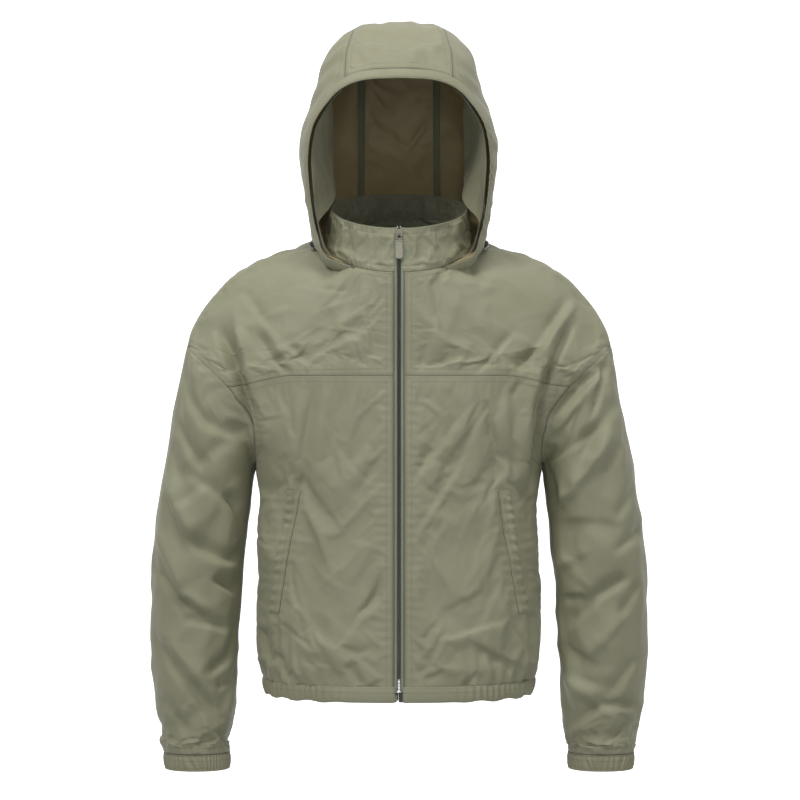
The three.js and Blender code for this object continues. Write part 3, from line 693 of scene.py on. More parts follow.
def cloth_surface(name, rgb, worn, roughness=0.6, stitched=True, grain=1.0):
    """Fine plain-woven nylon: two crossing thread waves, a soft mottle, and two rows of stitches
    beside each seam. The stitch dents and the seam groove are darkened in colour: painted shade."""
    s = Surface(name, roughness=roughness, sheen=0.12, specular=0.35)
    here = s.coordinates((1, 1, 1))
    split = s.node("SeparateXYZ", None, Vector=here)
    x, y, z = (Wire(s.tree, split.outputs[k]) for k in range(3))
    warp = (x * 5200 + y * 3100).math("SINE")
    weft = (z * 5200).math("SINE")
    weave = warp * weft
    mottle = s.wire(s.node("TexNoise", None, Vector=here, Scale=14.0, Detail=4.0, Roughness=0.6))
    fine = s.wire(s.node("TexNoise", None, Vector=here, Scale=420.0, Detail=2.0, Roughness=0.6))
    colour = s.mix((mottle - 0.35).math("MULTIPLY", 2.2).math("MINIMUM", 1.0).math("MAXIMUM", 0.0),
                   linear(rgb), linear(worn))
    height = weave * (0.12 * grain) + fine * (0.9 * grain)
    if stitched:
        edge, run = s.value("edge"), s.value("run")
        dash = ((run / 3.4).math("FRACT") - 0.5).math("ABSOLUTE")
        dash = (0.40 - dash).math("MULTIPLY", 9.0).math("MINIMUM", 1.0).math("MAXIMUM", 0.0)
        lines = 0
        for at in (2.2, 8.0):
            row = (1.0 - ((edge - at).math("ABSOLUTE") / 0.6)).math("MAXIMUM", 0.0)
            lines = row + lines
        groove = (1.0 - ((edge - 0.0).math("ABSOLUTE") / 1.1)).math("MAXIMUM", 0.0)
        # Painted shade: the stitch rows, most of all the needle holes between stitches, and the seam
        # groove are darkened towards 0.45 of the colour
        painted_shade = (lines * 0.55 * (1.0 - dash * 0.75) + groove * 0.6).math("MINIMUM", 0.8)
        colour = s.mix(painted_shade, colour, linear(np.asarray(rgb) * 0.45))
        height = height + lines * (dash * 1.4 - 1.6) - groove * 1.5
    s.plug("Base Color", colour)
    rough = mottle * 0.12 + (roughness - 0.06)
    s.plug("Roughness", rough)
    s.bump(height, 0.00028, 0.9)
    return s.material


def hard_surface(name, rgb, roughness, metallic=0.0, scuff=0.15, coat=0.0):
    """Metal or plastic with a faint mottle and small scuffs in its shine."""
    s = Surface(name, roughness=roughness, metallic=metallic)
    here = s.coordinates((1, 1, 1))
    mottle = s.wire(s.node("TexNoise", None, Vector=here, Scale=350.0, Detail=5.0))
    s.plug("Base Color", s.mix(mottle, linear(rgb), linear(np.asarray(rgb) * 0.8)))
    s.plug("Roughness", mottle * scuff + (roughness - scuff / 2))
    s.shader.inputs["Coat Weight"].default_value = coat
    s.bump(mottle, 0.00008, 0.5)
    return s.material


LOOK = {}


def looks():
    """Makes every material once."""
    sage, sage_worn = (150, 149, 124), (140, 139, 113)
    LOOK["cloth"] = cloth_surface("sage_nylon", sage, sage_worn)
    LOOK["lining"] = cloth_surface("coated_inside", (166, 151, 112), (146, 133, 98), 0.5, False)
    # The shell's inner faces get the sage at three quarters brightness: painted shade
    LOOK["inside"] = cloth_surface("sage_inside_painted_shade", (112, 112, 92), (100, 100, 82), 0.6, False)
    LOOK["tape"] = cloth_surface("seam_tape", (118, 121, 96), (104, 108, 86), 0.7, False)
    LOOK["zip_tape"] = cloth_surface("zip_tape", (138, 146, 126), (122, 130, 112), 0.75, False)
    LOOK["elastic"] = cloth_surface("ribbed_elastic", (112, 111, 92), (100, 98, 82), 0.8, False, 2.0)
    LOOK["coil"] = hard_surface("zip_coil", (92, 101, 88), 0.5)
    LOOK["paint"] = hard_surface("painted_zinc", (150, 149, 128), 0.38, 0.25, coat=0.2)
    LOOK["steel"] = hard_surface("bare_zinc", (170, 168, 158), 0.3, 0.9)
    LOOK["black"] = hard_surface("black_plastic", (30, 30, 31), 0.42)


# ---- grids of the pieces ----
def evened(grid, count):
    """The grid with count points along each row. They are spaced evenly by the mean length of the
    rows about it, and the row's own end is met by stretching its last points."""
    across, _ = run_lengths(grid)
    whole = across[:, -1]
    reach = min(14, (len(whole) - 1) // 2)
    padded = np.pad(whole, reach, mode="reflect", reflect_type="odd")
    bell = np.hanning(2 * reach + 3)[1:-1]
    mean = np.convolve(padded, bell / bell.sum(), mode="valid")
    mean = np.clip(mean, whole / 1.25, whole / 0.8)
    share = np.linspace(0, 1, count)
    rows = []
    for row, length, usual in zip(grid, across, mean):
        even = usual * share + (length[-1] - usual) * share**4
        rows.append(np.stack([np.interp(even, length, row[:, k]) for k in range(3)], axis=1))
    return np.array(rows)


def tucked(grid, edges, far=3.0, under=1.2):
    """The grid with one more row past each named edge, bent under the neighbouring piece."""
    def beyond(edge, inner, normal):
        step = edge - inner
        step = step / np.maximum(np.linalg.norm(step, axis=-1, keepdims=True), 1e-9)
        return edge + step * far - normal * under
    for key in edges:
        n = normals(grid)
        if key == "t":
            grid = np.concatenate([beyond(grid[0], grid[1], n[0])[None], grid])
        elif key == "b":
            grid = np.concatenate([grid, beyond(grid[-1], grid[-2], n[-1])[None]])
        elif key == "l":
            grid = np.concatenate([beyond(grid[:, 0], grid[:, 1], n[:, 0])[:, None], grid], axis=1)
        else:
            grid = np.concatenate([grid, beyond(grid[:, -1], grid[:, -2], n[:, -1])[:, None]], axis=1)
    return grid


def round_normals(grid):
    """Unit normals of a grid whose last column meets its first."""
    wide = np.concatenate([grid[:, -2:], grid, grid[:, :2]], axis=1)
    return normals(wide)[:, 2:-2]


def scattered(seed, count, area, angle, spread, length, wide, high):
    """Fold lines spread over a rectangle (x0, x1, z0, z1), each near an angle in degrees."""
    pick = np.random.default_rng(seed)
    x = pick.uniform(area[0], area[1], count)
    z = pick.uniform(area[2], area[3], count)
    turn = np.radians(angle + pick.uniform(-spread, spread, count))
    half = length * pick.uniform(0.6, 1.3, count) / 2
    tall = high * pick.uniform(0.5, 1.2, count) * np.where(pick.random(count) < 0.3, -0.6, 1)
    broad = wide * pick.uniform(0.7, 1.3, count)
    sag = pick.uniform(-8, 8, count)
    dx, dz = np.cos(turn) * half, np.sin(turn) * half
    return list(zip(x - dx, z - dz, x + dx, z + dz, broad, tall, sag))


# Folds seen from the front: x0, z0, x1, z1, half width, height, sag.
FOLDS = {
    "right": [
        (220, -91, 178, -208, 9, -9, 0), (203, -79, 170, -219, 10, 6.5, 0),
        (178, -89, 143, -138, 5, -3.2, 0), (167, -84, 132, -135, 6, 2.2, 0),
        (140, -98, 108, -133, 6, -1.8, 0), (105, -171, 117, -264, 8, -3.2, -4),
        (117, -264, 145, -342, 7, -3.4, 0), (124, -175, 136, -278, 10, 2.6, 0),
        (18, -388, 47, -433, 7, -3.6, 3), (31, -425, 62, -469, 9, 2, 0),
        (200, -80, 162, -121, 6, -2.6, 0), (195, -37, 168, -75, 7, -2.0, 0),
        (230, -87, 206, -132, 6, -3.4, 0), (138, -104, 117, -132, 5, -1.6, 0),
        (97, -35, 66, -39, 3.5, -1.3, 0), (104, -23, 62, -6, 6, -2.6, 0),
        (62, -498, 47, -525, 6, -3.4, 0), (17, -516, 40, -527, 5, -2.4, 0),
        (148, -491, 135, -518, 7, -4, 0), (126, -516, 114, -539, 5, -3, 0),
        (170, -462, 157, -498, 8, -5, 0), (85, -425, 76, -498, 13, 2.2, 0),
        (66, -200, 75, -322, 12, 1.8, 0), (85, -52, 58, -114, 12, 1.6, 0),
        (38, -52, 28, -126, 8, -1.2, 0), (272, -137, 241, -201, 8, -5, -5),
        (244, -199, 195, -218, 8, -6, -3), (282, -199, 248, -254, 8, -4.5, 0),
        (248, -254, 212, -225, 7, -4.5, 3), (299, -266, 260, -339, 10, 5.5, 0),
        (299, -290, 270, -359, 6, -3.5, 0), (279, -300, 244, -275, 6, -3, 0),
        (259, -346, 204, -371, 10, -6.5, -4), (232, -392, 201, -412, 9, -8, 0),
        (310, -334, 276, -410, 9, 4.5, 5), (276, -410, 244, -434, 7, 3.5, 3),
        (309, -380, 267, -442, 7, -4.5, 5), (267, -442, 218, -456, 7, -5.5, 3),
        (279, -419, 244, -440, 5, -3, 0), (311, -472, 239, -565, 9, -4.5, 5),
        (301, -465, 231, -550, 9, 3.2, 5), (240, -510, 204, -482, 8, -5.5, 0),
        (229, -529, 204, -518, 7, -5.5, 0), (306, -541, 269, -590, 7, -4, 3),
        (244, -588, 253, -608, 5, -3.4, 0), (228, -583, 214, -608, 5, -3.6, 0),
        (261, -262, 204, -306, 9, -3.5, 0), (215, -290, 196, -334, 8, -5, 0),
        (291, -225, 276, -269, 8, -3.0, 0),
    ],
    "left": [
        (206, -82, 164, -177, 10, 7.5, 4), (164, -177, 156, -273, 10, 5.5, 0),
        (216, -81, 180, -159, 9, -8, 4), (176, -169, 170, -263, 9, -8, 0),
        (171, -108, 150, -138, 6, -3.4, 0), (141, -91, 99, -138, 6, -2.6, 0),
        (87, -103, 70, -136, 8, 2, 0), (40, -86, 26, -136, 6, -2, 0),
        (213, -49, 148, -135, 7, -3.8, -3), (225, -52, 173, -114, 7, 2.5, 0),
        (44, -35, 48, -70, 5, -1.4, 0), (38, -35, 58, -11, 5, -2.4, 0), (89, -5, 110, -25, 6, -3, 0),
        (108, -180, 117, -227, 7, -3, 0), (117, -227, 138, -358, 7, -3.4, 0),
        (89, -177, 14, -279, 9, -4, 4), (77, -241, 21, -330, 10, -2.8, 0),
        (99, -187, 36, -280, 9, 2, 4), (150, -154, 141, -171, 5, -2, 0),
        (130, -175, 135, -273, 9, 2.2, 0), (96, -478, 146, -507, 9, -3, 0),
        (51, -437, 100, -411, 9, -2, 0), (31, -516, 53, -507, 5, -2, 0),
        (78, -525, 96, -509, 5, -2.2, 0), (124, -420, 157, -494, 5, 2.0, 0),
        (62, -469, 124, -451, 10, 2, 0), (16, -371, 26, -469, 12, 1.8, 0),
        (77, -40, 50, -114, 12, 1.6, 0), (249, -135, 189, -201, 7, -5, 0),
        (258, -142, 196, -212, 7, 3.4, 0), (266, -122, 239, -195, 7, -4, 0),
        (278, -171, 230, -242, 8, -5, 0), (294, -209, 256, -257, 6, -4, 0),
        (251, -209, 189, -247, 7, -4.5, 0), (263, -218, 203, -304, 10, 6, 0),
        (185, -260, 202, -304, 8, -7, 0), (309, -328, 275, -357, 7, -4.5, 0),
        (288, -391, 251, -412, 9, -7, 0), (251, -412, 215, -449, 9, -8, 0),
        (216, -449, 207, -495, 6, -5, 0), (209, -419, 232, -416, 6, -4, 0),
        (304, -398, 281, -438, 6, -3.4, 0), (206, -328, 280, -328, 11, -3.4, -4),
        (239, -356, 196, -385, 9, 4, 0), (297, -495, 267, -537, 8, -3.8, 0),
        (209, -522, 251, -535, 10, 4.5, 0), (298, -552, 253, -551, 8, -4.5, 0),
        (253, -551, 209, -581, 8, -6, 0), (201, -540, 219, -560, 7, -6.5, 0),
        (295, -569, 269, -597, 7, -4, 0), (249, -588, 241, -608, 5, -3, 0),
        (284, -438, 239, -488, 9, 3.2, 0), (301, -275, 274, -315, 7, -3.4, 0),
        (201, -475, 251, -500, 8, -3, 0),
    ],
}


def great_folds(grid, name):
    """Height of the large folds at each point of a grid on one side, less towards the back."""
    front = smooth((-6 - grid[..., 1]) / 36)
    x, z = grid[..., 0], grid[..., 2]
    shape = 1.5 * strokes(x, z, FOLDS[name])
    clear = smooth((x - 12) / 20)
    behind = 2.2 * noise(x / 46, z / 90, 1.0, 5) * smooth((x - 30) / 40)
    behind *= smooth((np.abs(grid[..., 1]) - 5) / 24)
    return (shape * front + behind * (1 - front)) * clear


def pocket_x(z):
    """Where the pocket opening runs at height z."""
    return 137.0 + (-288.0 - z) * 0.155


def off_pocket(x, z):
    """Distance sideways from the pocket opening, growing quickly past its ends."""
    past = 1 - smooth((z + 448) / 10) * smooth((-278 - z) / 10)
    return np.abs(x - pocket_x(z) + 4) + 30 * past


def front_folds(name, grid, calm):
    """Height of every fold on a front: slanting from the arm, waves beside the zip, a fuller lower
    edge gathered over the hem, and ripples along the pocket."""
    seed = 21 if name == "left" else 19
    x, z = grid[..., 0], grid[..., 2]
    lines = scattered(seed, 16, (20, 170, -500, -170), 68, 18, 120, 11, 1.9)
    lines += scattered(seed + 5, 22, (16, 175, -520, -170), 60, 45, 60, 6, 0.9)
    shape = (strokes(x, z, lines) + 1.4 * noise(x / 70, z / 110, 0.0, seed)) * calm
    down = HEM_SEAM - z
    waves = np.sin(2 * np.pi * (x + 9 * noise(x / 30, z / 60, 0.0, seed + 9)) / 15.0)
    shape += smooth((x - 60) / 60) * waves * 2.6 * np.exp(down / 34) * smooth(-down / 3 + 0.4)
    shape += 3.0 * smooth((z + 524) / 24) * smooth((-420 - z) / 80) * smooth((x - 20) / 60)
    shape += 0.9 * np.sin(2 * np.pi * z / 12.5) * np.exp(-off_pocket(x, z) / 7)
    return shape + great_folds(grid, name)


def body_rows(v, u, low, high, back=False):
    """Points of the body's front or back. u runs from the centre to the side or armhole seam; v from
    the upper edge (0) to the lower (1). low and high give an edge's height from x; high is None
    for the neck seam."""
    theta = np.broadcast_to(np.pi / 2 * u, np.broadcast(u, v).shape)
    level = np.full(theta.shape, YOKE_Z)
    for _ in range(6):
        turn = np.pi - theta if back else theta
        x = body(level, turn)[..., 0]
        edges = [np.full(x.shape, NECK_Z) if edge is None else level_at(edge(x), turn)
                 for edge in (high, low)]
        level = edges[0] + (edges[1] - edges[0]) * v
        start = theta_at(0.0 if back else FRONT_EDGE, level[:, :1])
        theta = start + (arm_end(level[:, -1:], back) - start) * u
    return body(level, np.pi - theta if back else theta)


def hem_seam(x):
    """Height of the hem's seam, the same all round."""
    return np.full(np.shape(x), HEM_SEAM)


def lower_front(name):
    """The front below the yoke: even rows from the yoke seam to the hem seam, from the zip to the
    side seam."""
    side = 1 if name == "left" else -1
    v, u = np.linspace(0, 1, 104)[:, None], np.linspace(0, 1, 260)[None, :]
    grid = evened(body_rows(v, u, hem_seam, yoke_z), 64)
    gap, run = edge_values(grid, "tlr")
    shape = front_folds(name, grid, smooth(gap / 16)) + pucker(gap, run, 20 + side, 0.7)
    loose = smooth((off_pocket(grid[..., 0], grid[..., 2]) - 14) / 12) * smooth(gap / 16)
    loose *= smooth(edge_values(grid, "b")[0] / 16)
    shape += 1.2 * crumple(grid[..., 0], grid[..., 2], 23 + side, 38.0) * loose
    by_pocket = 1 - smooth((off_pocket(grid[..., 0], grid[..., 2]) - 8) / 12)
    by_arm, arm_run = edge_values(grid, "r")
    gathers = smooth((grid[..., 2] + 275) / 20)
    shape += gathers * pucker(by_arm, arm_run, 27 + side, 2.2, 12.0, 9.0)
    return soften(grid, shape), gap, run, np.maximum(pinned(grid), by_pocket)


def on_the_front(name, x, z, offset):
    """Points offset outwards from the folded front at x and height z."""
    grid = side_point(x, z)
    return soften(grid, front_folds(name, grid, 1.0) + offset)


def welt_grid(name):
    """The pocket's welt: a narrow folded strip along the slanted opening, ruffled on its edge."""
    v = np.linspace(0, 1, 72)[:, None]
    u = np.linspace(0, 1, 12)[None, :]
    z = -286.0 - 154.0 * v + 0 * u
    run = 154.0 * v + 0 * u
    ruffle = np.sin(2 * np.pi * (run + 3 * noise(run / 20, 0.0, 0.0, 31)) / 10.5)
    x = pocket_x(z) - 14.0 * (1 - u) + 0.8 * ruffle * u
    ends = smooth(v / 0.02) * smooth((1 - v) / 0.02)
    rise = np.clip(1 - (2 * u - 1) ** 8, 0, 1)
    offset = 0.35 + (1.25 + 0.6 * ruffle * smooth((u - 0.3) / 0.7)) * rise * ends
    grid = on_the_front(name, x, z, offset)
    gap, _ = edge_values(grid, "tl")
    return grid, gap, run


def bag_grid(name):
    """The pocket bag hanging inside the front, a little slack, with rounded lower corners."""
    v = np.linspace(0, 1, 48)[:, None]
    u = np.linspace(0, 1, 34)[None, :]
    z = -274.0 - 198.0 * v + 0 * u
    squeeze = np.sqrt(np.clip(1 - smooth((v - 0.86) / 0.14) ** 2 * 0.25, 0, 1))
    x = pocket_x(z) - 42.5 + (105.0 * u - 52.5) * squeeze
    x = np.minimum(x, 168.0)
    slack = -9.0 - 1.2 * noise(u * 4, v * 6, 0.0, 44)
    grid = on_the_front(name, x, z, slack)
    gap, run = edge_values(grid, "tblr")
    return grid, gap, run


def front_yoke(name):
    """The shoulder piece: from the neck seam out and down to the yoke seam and the arm."""
    side = 1 if name == "left" else -1
    v, u = np.linspace(0, 1, 70)[:, None], np.linspace(0, 1, 300)[None, :]
    grid = evened(body_rows(v, u, yoke_z, None), 78)
    gap, run = edge_values(grid, "tbl")
    calm = smooth(np.minimum(gap, edge_values(grid, "r")[0]) / 14)
    x, zz = grid[..., 0], grid[..., 2]
    lines = scattered(40 + side, 18, (30, 230, -140, 0), -38, 22, 80, 8, 1.5)
    lines += scattered(50 + side, 20, (20, 240, -140, 0), -60, 40, 44, 5, 0.8)
    shape = strokes(x, zz, lines) * calm + 1.2 * noise(x / 60, zz / 60, 0.0, 60 + side) * calm
    shape += 1.5 * crumple(x * 0.5 + zz * 0.8, zz * 0.5 - x * 0.8, 63 + side) * calm
    shape += great_folds(grid, name)
    edge = np.where(run_lengths(grid)[1][-1:] - run_lengths(grid)[1] < gap + 0.01, 1.0, 0.6)
    shape += pucker(gap, run, 7 + side, 0.8 * edge)
    return soften(grid, shape), gap, run, pinned(grid)


def back_half(low, high, rows, cols):
    """Even grid over the whole back between two edges, the upper being the neck where it is None."""
    v, u = np.linspace(0, 1, rows)[:, None], np.linspace(0, 1, 210)[None, :]
    half = body_rows(v, u, low, high, back=True)
    whole = np.concatenate([half[:, ::-1], half[:, 1:] * np.array([-1, 1, 1])], axis=1)
    return evened(whole, cols)


def back_folds(grid, seed, calm):
    """Folds over the back: long slanting ones towards each arm, and small ones everywhere."""
    x, z = grid[..., 0], grid[..., 2]
    lines = scattered(seed, 16, (20, 170, -500, -20), 62, 20, 120, 12, 2.0)
    mirrored = scattered(seed + 1, 16, (-170, -20, -500, -20), 118, 20, 120, 12, 2.0)
    fine = scattered(seed + 2, 40, (-200, 200, -520, 0), 75, 50, 60, 7, 0.9)
    shape = strokes(x, z, lines + mirrored + fine) * calm
    return shape + 1.6 * noise(x / 80, z / 120, 0.0, seed) * calm


SLEEVE_FOLDS = {
    "right": [
        (0.10, 0.55, 0.24, 0.2, 0.020, 5.0), (0.16, 0.75, 0.33, 0.42, 0.020, 5.5),
        (0.22, 0.2, 0.30, 0.62, 0.018, 4.5), (0.34, 0.80, 0.42, 0.30, 0.022, 7.0),
        (0.40, 0.18, 0.47, 0.62, 0.020, 6.5), (0.45, 0.85, 0.52, 0.32, 0.020, 7.0),
        (0.50, 0.2, 0.57, 0.72, 0.019, 6.0), (0.55, 0.86, 0.62, 0.38, 0.020, 6.5),
        (0.61, 0.22, 0.67, 0.66, 0.019, 5.5), (0.66, 0.82, 0.74, 0.34, 0.020, 5.5),
        (0.73, 0.2, 0.79, 0.62, 0.018, 4.5), (0.79, 0.78, 0.86, 0.36, 0.018, 4.5),
        (0.86, 0.22, 0.91, 0.6, 0.014, 3.5),
    ],
    "left": [
        (0.09, 0.45, 0.22, 0.78, 0.020, 5.0), (0.15, 0.22, 0.28, 0.56, 0.020, 5.5),
        (0.27, 0.82, 0.35, 0.40, 0.020, 6.0), (0.35, 0.2, 0.43, 0.64, 0.022, 7.0),
        (0.43, 0.84, 0.49, 0.34, 0.020, 6.5), (0.49, 0.2, 0.55, 0.68, 0.020, 6.5),
        (0.55, 0.8, 0.61, 0.32, 0.019, 6.5), (0.62, 0.2, 0.69, 0.66, 0.020, 6.0),
        (0.69, 0.8, 0.76, 0.36, 0.019, 5.0), (0.77, 0.22, 0.83, 0.62, 0.018, 4.5),
        (0.85, 0.74, 0.90, 0.36, 0.014, 3.5),
    ],
}


SLEEVE_RUN = 560.0
SLEEVE_HALF_ROUND = 150.0


def sleeve_grid(name):
    """The sleeve from armhole to cuff seam. Its columns start under the arm and run by the front,
    over the top and down the back. Folds wind round the elbow, and both ends are gathered."""
    side = 1 if name == "left" else -1
    t = np.linspace(0, 0.96, 120)[:, None]
    phi = np.pi * (1 - 2 * np.linspace(0, 1, 72, endpoint=False))[None, :]
    arm = sleeve(t, phi)
    k = np.linspace(0, 1, 7)[:-1, None]
    x0, z0 = arm[0, :, 0], np.clip(arm[0, :, 2], ARMPIT[1], ARMHOLE_TOP[1])
    x = seam_x(z0) * (1 - k) + x0 * k
    head = np.where((np.sin(phi) < 0)[..., None], side_point(x, z0, True), side_point(x, z0))
    flat = ((x0 - seam_x(z0)) < 1.0)[None, :, None]
    head = np.where(flat, arm[:1] + (arm[:1] - arm[1:2]) * 0.2 * (1 - k)[..., None], head)
    grid = np.concatenate([head, arm])
    ahead = -(1 - k) * (x0 - seam_x(z0)) / SLEEVE_RUN
    tt = np.concatenate([ahead, np.broadcast_to(t, arm.shape[:2])])
    around = np.broadcast_to(np.linspace(0, 1, 72, endpoint=False)[None, :], tt.shape)
    shape = np.zeros(tt.shape)
    c = 1 - (2 * around - 1)
    live = smooth(c / 0.06) * smooth((1 - c) / 0.06)
    for t0, c0, t1, c1, wide, high in SLEEVE_FOLDS[name]:
        du, dv = (t1 - t0) * SLEEVE_RUN, (c1 - c0) * SLEEVE_HALF_ROUND
        length = math.hypot(du, dv)
        a, b = (tt - t0 - 0.021) * SLEEVE_RUN, (c - c0) * SLEEVE_HALF_ROUND
        u = (a * du + b * dv) / length**2
        off = (a * dv - b * du) / length + 16 * u * (1 - u)
        ends = smooth((u + 0.25) / 0.4) * smooth((1.25 - u) / 0.4)
        bell = np.exp(-(off / (wide * SLEEVE_RUN)) ** 2)
        dip = np.exp(-((np.abs(off) - wide * 1150) / (wide * 420)) ** 2)
        shape += high * live * ends * (bell - 0.45 * dip)
    spot = (around * 2 * np.pi)
    cx, cy = np.cos(spot), np.sin(spot)
    shape += 2.2 * noise(tt * 9, cx * 1.6, cy * 1.6, 70 + side)
    shape += 1.2 * noise(tt * 22, cx * 3.2, cy * 3.2, 75 + side)
    shape -= 3.0 * np.abs(noise(tt * 13 + cx, cx * 1.9, cy * 1.9, 77 + side)) - 1.0
    _, downs = run_lengths(grid)
    calm = smooth(downs / 26) * smooth((0.96 - tt) / 0.03)
    shape = shape * calm
    ribs = np.sin(2 * np.pi * (around * 30 + 1.6 * noise(cx * 3, cy * 3, tt * 9, 80 + side)))
    shape += 2.1 * ribs * np.exp(-(0.96 - tt) / 0.045) * smooth((0.96 - tt) / 0.004)
    base = np.sin(2 * np.pi * (around * 34 + 2.0 * noise(cx * 3, cy * 3, tt * 9, 83 + side)))
    shape += 2.0 * base * np.exp(-downs / 15) * smooth(downs / 3)
    drape = great_folds(grid, name) * smooth((0.965 - tt) / 0.02)
    shape += drape
    out = grid + round_normals(grid) * shape[..., None]
    _, downs = run_lengths(grid)
    across = np.cumsum(np.linalg.norm(np.roll(grid, -1, axis=1) - grid, axis=2), axis=1)
    end = downs[-1:] - downs
    gap = np.minimum(downs, end)
    held = np.maximum(1 - smooth((downs - 3) / 16), 1 - smooth((end - 3) / 14))
    return out, gap, across, held


def ring_strip(make, rows, cols, offset=0.0):
    """A closed band between two rows of make(v, phi), v from 0 to 1."""
    v = np.linspace(0, 1, rows)[:, None]
    phi = np.pi * (1 - 2 * np.linspace(0, 1, cols, endpoint=False))[None, :]
    grid = make(v, phi)
    return grid + round_normals(grid) * np.asarray(offset)[..., None]


def cuff_grid(name):
    """The cuff: a gathered band with upright ribs, drawn in along two rows of stitches."""
    side = 1 if name == "left" else -1
    rows, cols = 16, 288
    v = np.linspace(0, 1, rows)[:, None]
    around = np.linspace(0, 1, cols, endpoint=False)[None, :]
    cx, cy = np.cos(2 * np.pi * around), np.sin(2 * np.pi * around)
    ribs = np.sin(2 * np.pi * (around * 44 + 1.1 * noise(cx * 3, cy * 3, v * 1.0, 90 + side)))
    swell = np.sin(np.pi * v) ** 0.5
    drawn = np.exp(-((v - 0.14) / 0.07) ** 2) + np.exp(-((v - 0.88) / 0.07) ** 2)
    offset = 0.9 * ribs * (0.55 + 0.45 * swell) + 0.8 * swell - 0.7 * drawn
    return ring_strip(lambda v, phi: sleeve(0.96 + 0.04 * v, phi), rows, cols, offset)


def hem_grid(start, end, cols, seed):
    """The hem band between two angles: gathered towards the sides, plain near the zip."""
    rows = 12
    theta = np.linspace(start, end, cols * 4)[None, :]
    v = np.linspace(0, 1, rows)[:, None]
    z = HEM_SEAM + (HEM_Z - HEM_SEAM) * v
    grid = evened(body(np.broadcast_to(z, (rows, theta.shape[1])), theta), cols)
    x = grid[..., 0]
    _, run = edge_values(grid, "t")
    gather = smooth((np.abs(x) - 50) / 60)
    ripple = np.sin(2 * np.pi * (run + 5 * noise(run / 30, 0.0, 0.0, seed)) / 9.5)
    swell = np.sin(np.pi * np.clip(v, 0, 1)) ** 0.5
    out = soften(grid, gather * ripple * 1.5 * (0.4 + 0.6 * swell) + 1.6 * swell)
    out[..., 2] += gather * 1.2 * v * np.sin(2 * np.pi * run / 41 + seed)
    return out


def collar_grid(start, end, cols, seed):
    """The stand collar between two angles, from its top edge down to the neck seam, creased where
    the neck bends it."""
    theta = np.linspace(start, end, cols * 4)[None, :]
    t = np.linspace(1, 0, 22)[:, None]
    grid = evened(collar_point(t, theta), cols)
    gap, run = edge_values(grid, "tb")
    calm = smooth(gap / 9)
    x = grid[..., 0]
    wave = noise(run / 17, grid[..., 2] / 46, 0.0, seed)
    slant = noise((run + grid[..., 2]) / 13, grid[..., 2] / 60, 2.0, seed + 1)
    shape = (2.6 * wave + 1.3 * slant) * calm * smooth((np.abs(x) - 12) / 25)
    shape += pucker(gap, run, seed, 0.9, 8.0, 9.0)
    return soften(grid, shape), gap, run


# ---- hood ----
def hood_v(gap_mm, s):
    """The v at which the hood is gap_mm back from the face edge."""
    probe = np.linspace(0, 0.3, 16)[:, None]
    line = hood(probe, np.broadcast_to(s, (16, len(s))))
    far = np.concatenate([np.zeros((1, len(s))),
                          np.cumsum(np.linalg.norm(np.diff(line, axis=0), axis=2), axis=0)])
    return np.array([np.interp(gap_mm, far[:, k], probe[:, 0]) for k in range(len(s))])


SEAM_X = (64.0, 50.0)
BAND = 15.0


def hood_panel(which, rows, cols, seed):
    """The hood's centre panel or a side panel, from the back of the drawcord channel to the neck.
    The seams beside the centre panel draw in slightly towards the nape."""
    fine = 40
    v_line = np.linspace(0, 1, fine)
    edge = seam_s(v_line, SEAM_X[0] + (SEAM_X[1] - SEAM_X[0]) * smooth(v_line / 0.35))
    u = np.linspace(0, 1, cols * 2)[None, :]
    span = edge[:, None]
    s_line = span - 2 * span * u if which == "centre" else 1 - (1 - span) * u
    base = hood_v(BAND, s_line[4])[None, :]
    v = base + (1 - base) * v_line[:, None]
    coarse = hood(v, s_line)
    coarse = evened(coarse, cols)
    even = np.linspace(0, fine - 1, rows)
    low = np.minimum(even.astype(int), fine - 2)
    part = (even - low)[:, None, None]
    grid = coarse[low] * (1 - part) + coarse[low + 1] * part
    gap, run = edge_values(grid, "tblr" if which == "centre" else "tbr")
    calm = smooth(gap / 12)
    x, y, z = (grid[..., k] for k in range(3))
    shape = 1.8 * noise(x / 42, y / 60, z / 42, seed) * calm
    shape += 4.2 * (0.35 - np.abs(noise(x / 40, y / 55, z / 40, seed + 8))) * calm
    shape += 2.4 * (0.35 - np.abs(noise((x + z) / 22, y / 40, (x - z) / 34, seed + 1))) * calm
    if which != "centre":
        forward = smooth((-y - 10) / 50)
        slant = np.sin(2 * np.pi * (z + 0.7 * y + 12 * noise(y / 30, z / 40, 0.0, seed + 2)) / 34)
        shape += 1.5 * slant * forward * calm * (0.6 + 0.4 * noise(z / 60, 0.0, 0.0, seed + 3))
    top_gap, top_run = edge_values(grid, "t")
    shape += pucker(top_gap, top_run, seed + 4, 1.5, 13.0, 10.0)
    shape += pucker(gap, run, seed + 5, 0.7, 9.0, 9.0)
    return soften(grid, shape), gap, run, pinned(grid)


def channel_grid(seed):
    """The drawcord channel round the face: a soft tube-like band, gathered on its cord."""
    cols, rows = 300, 10
    s = np.linspace(1, -1, cols)
    rim = hood(np.zeros((1, cols)), s[None, :])
    held = np.clip(s, -0.9, 0.9)
    width = hood(hood_v(BAND, held)[None, :], held[None, :]) - hood(np.zeros((1, cols)), held[None])
    width *= BAND / np.linalg.norm(width, axis=2, keepdims=True)
    grid = rim + width * np.linspace(0, 1, rows)[:, None, None]
    across, _ = run_lengths(grid)
    run = across
    u = np.linspace(0, 1, rows)[:, None]
    swell = np.sin(np.pi * u) ** 0.7
    side = smooth((np.abs(s)[None, :] - 0.25) / 0.3)
    ripple = np.sin(2 * np.pi * (run + 4 * noise(run / 23, 0.0, 0.0, seed)) / 8.5)
    shape = 1.7 * swell + ripple * (0.35 + 0.9 * side) * (0.35 + 0.65 * swell)
    gap = BAND * np.broadcast_to(u, grid.shape[:2])
    return soften(grid, shape), np.minimum(gap, BAND - gap) + 0.4, run


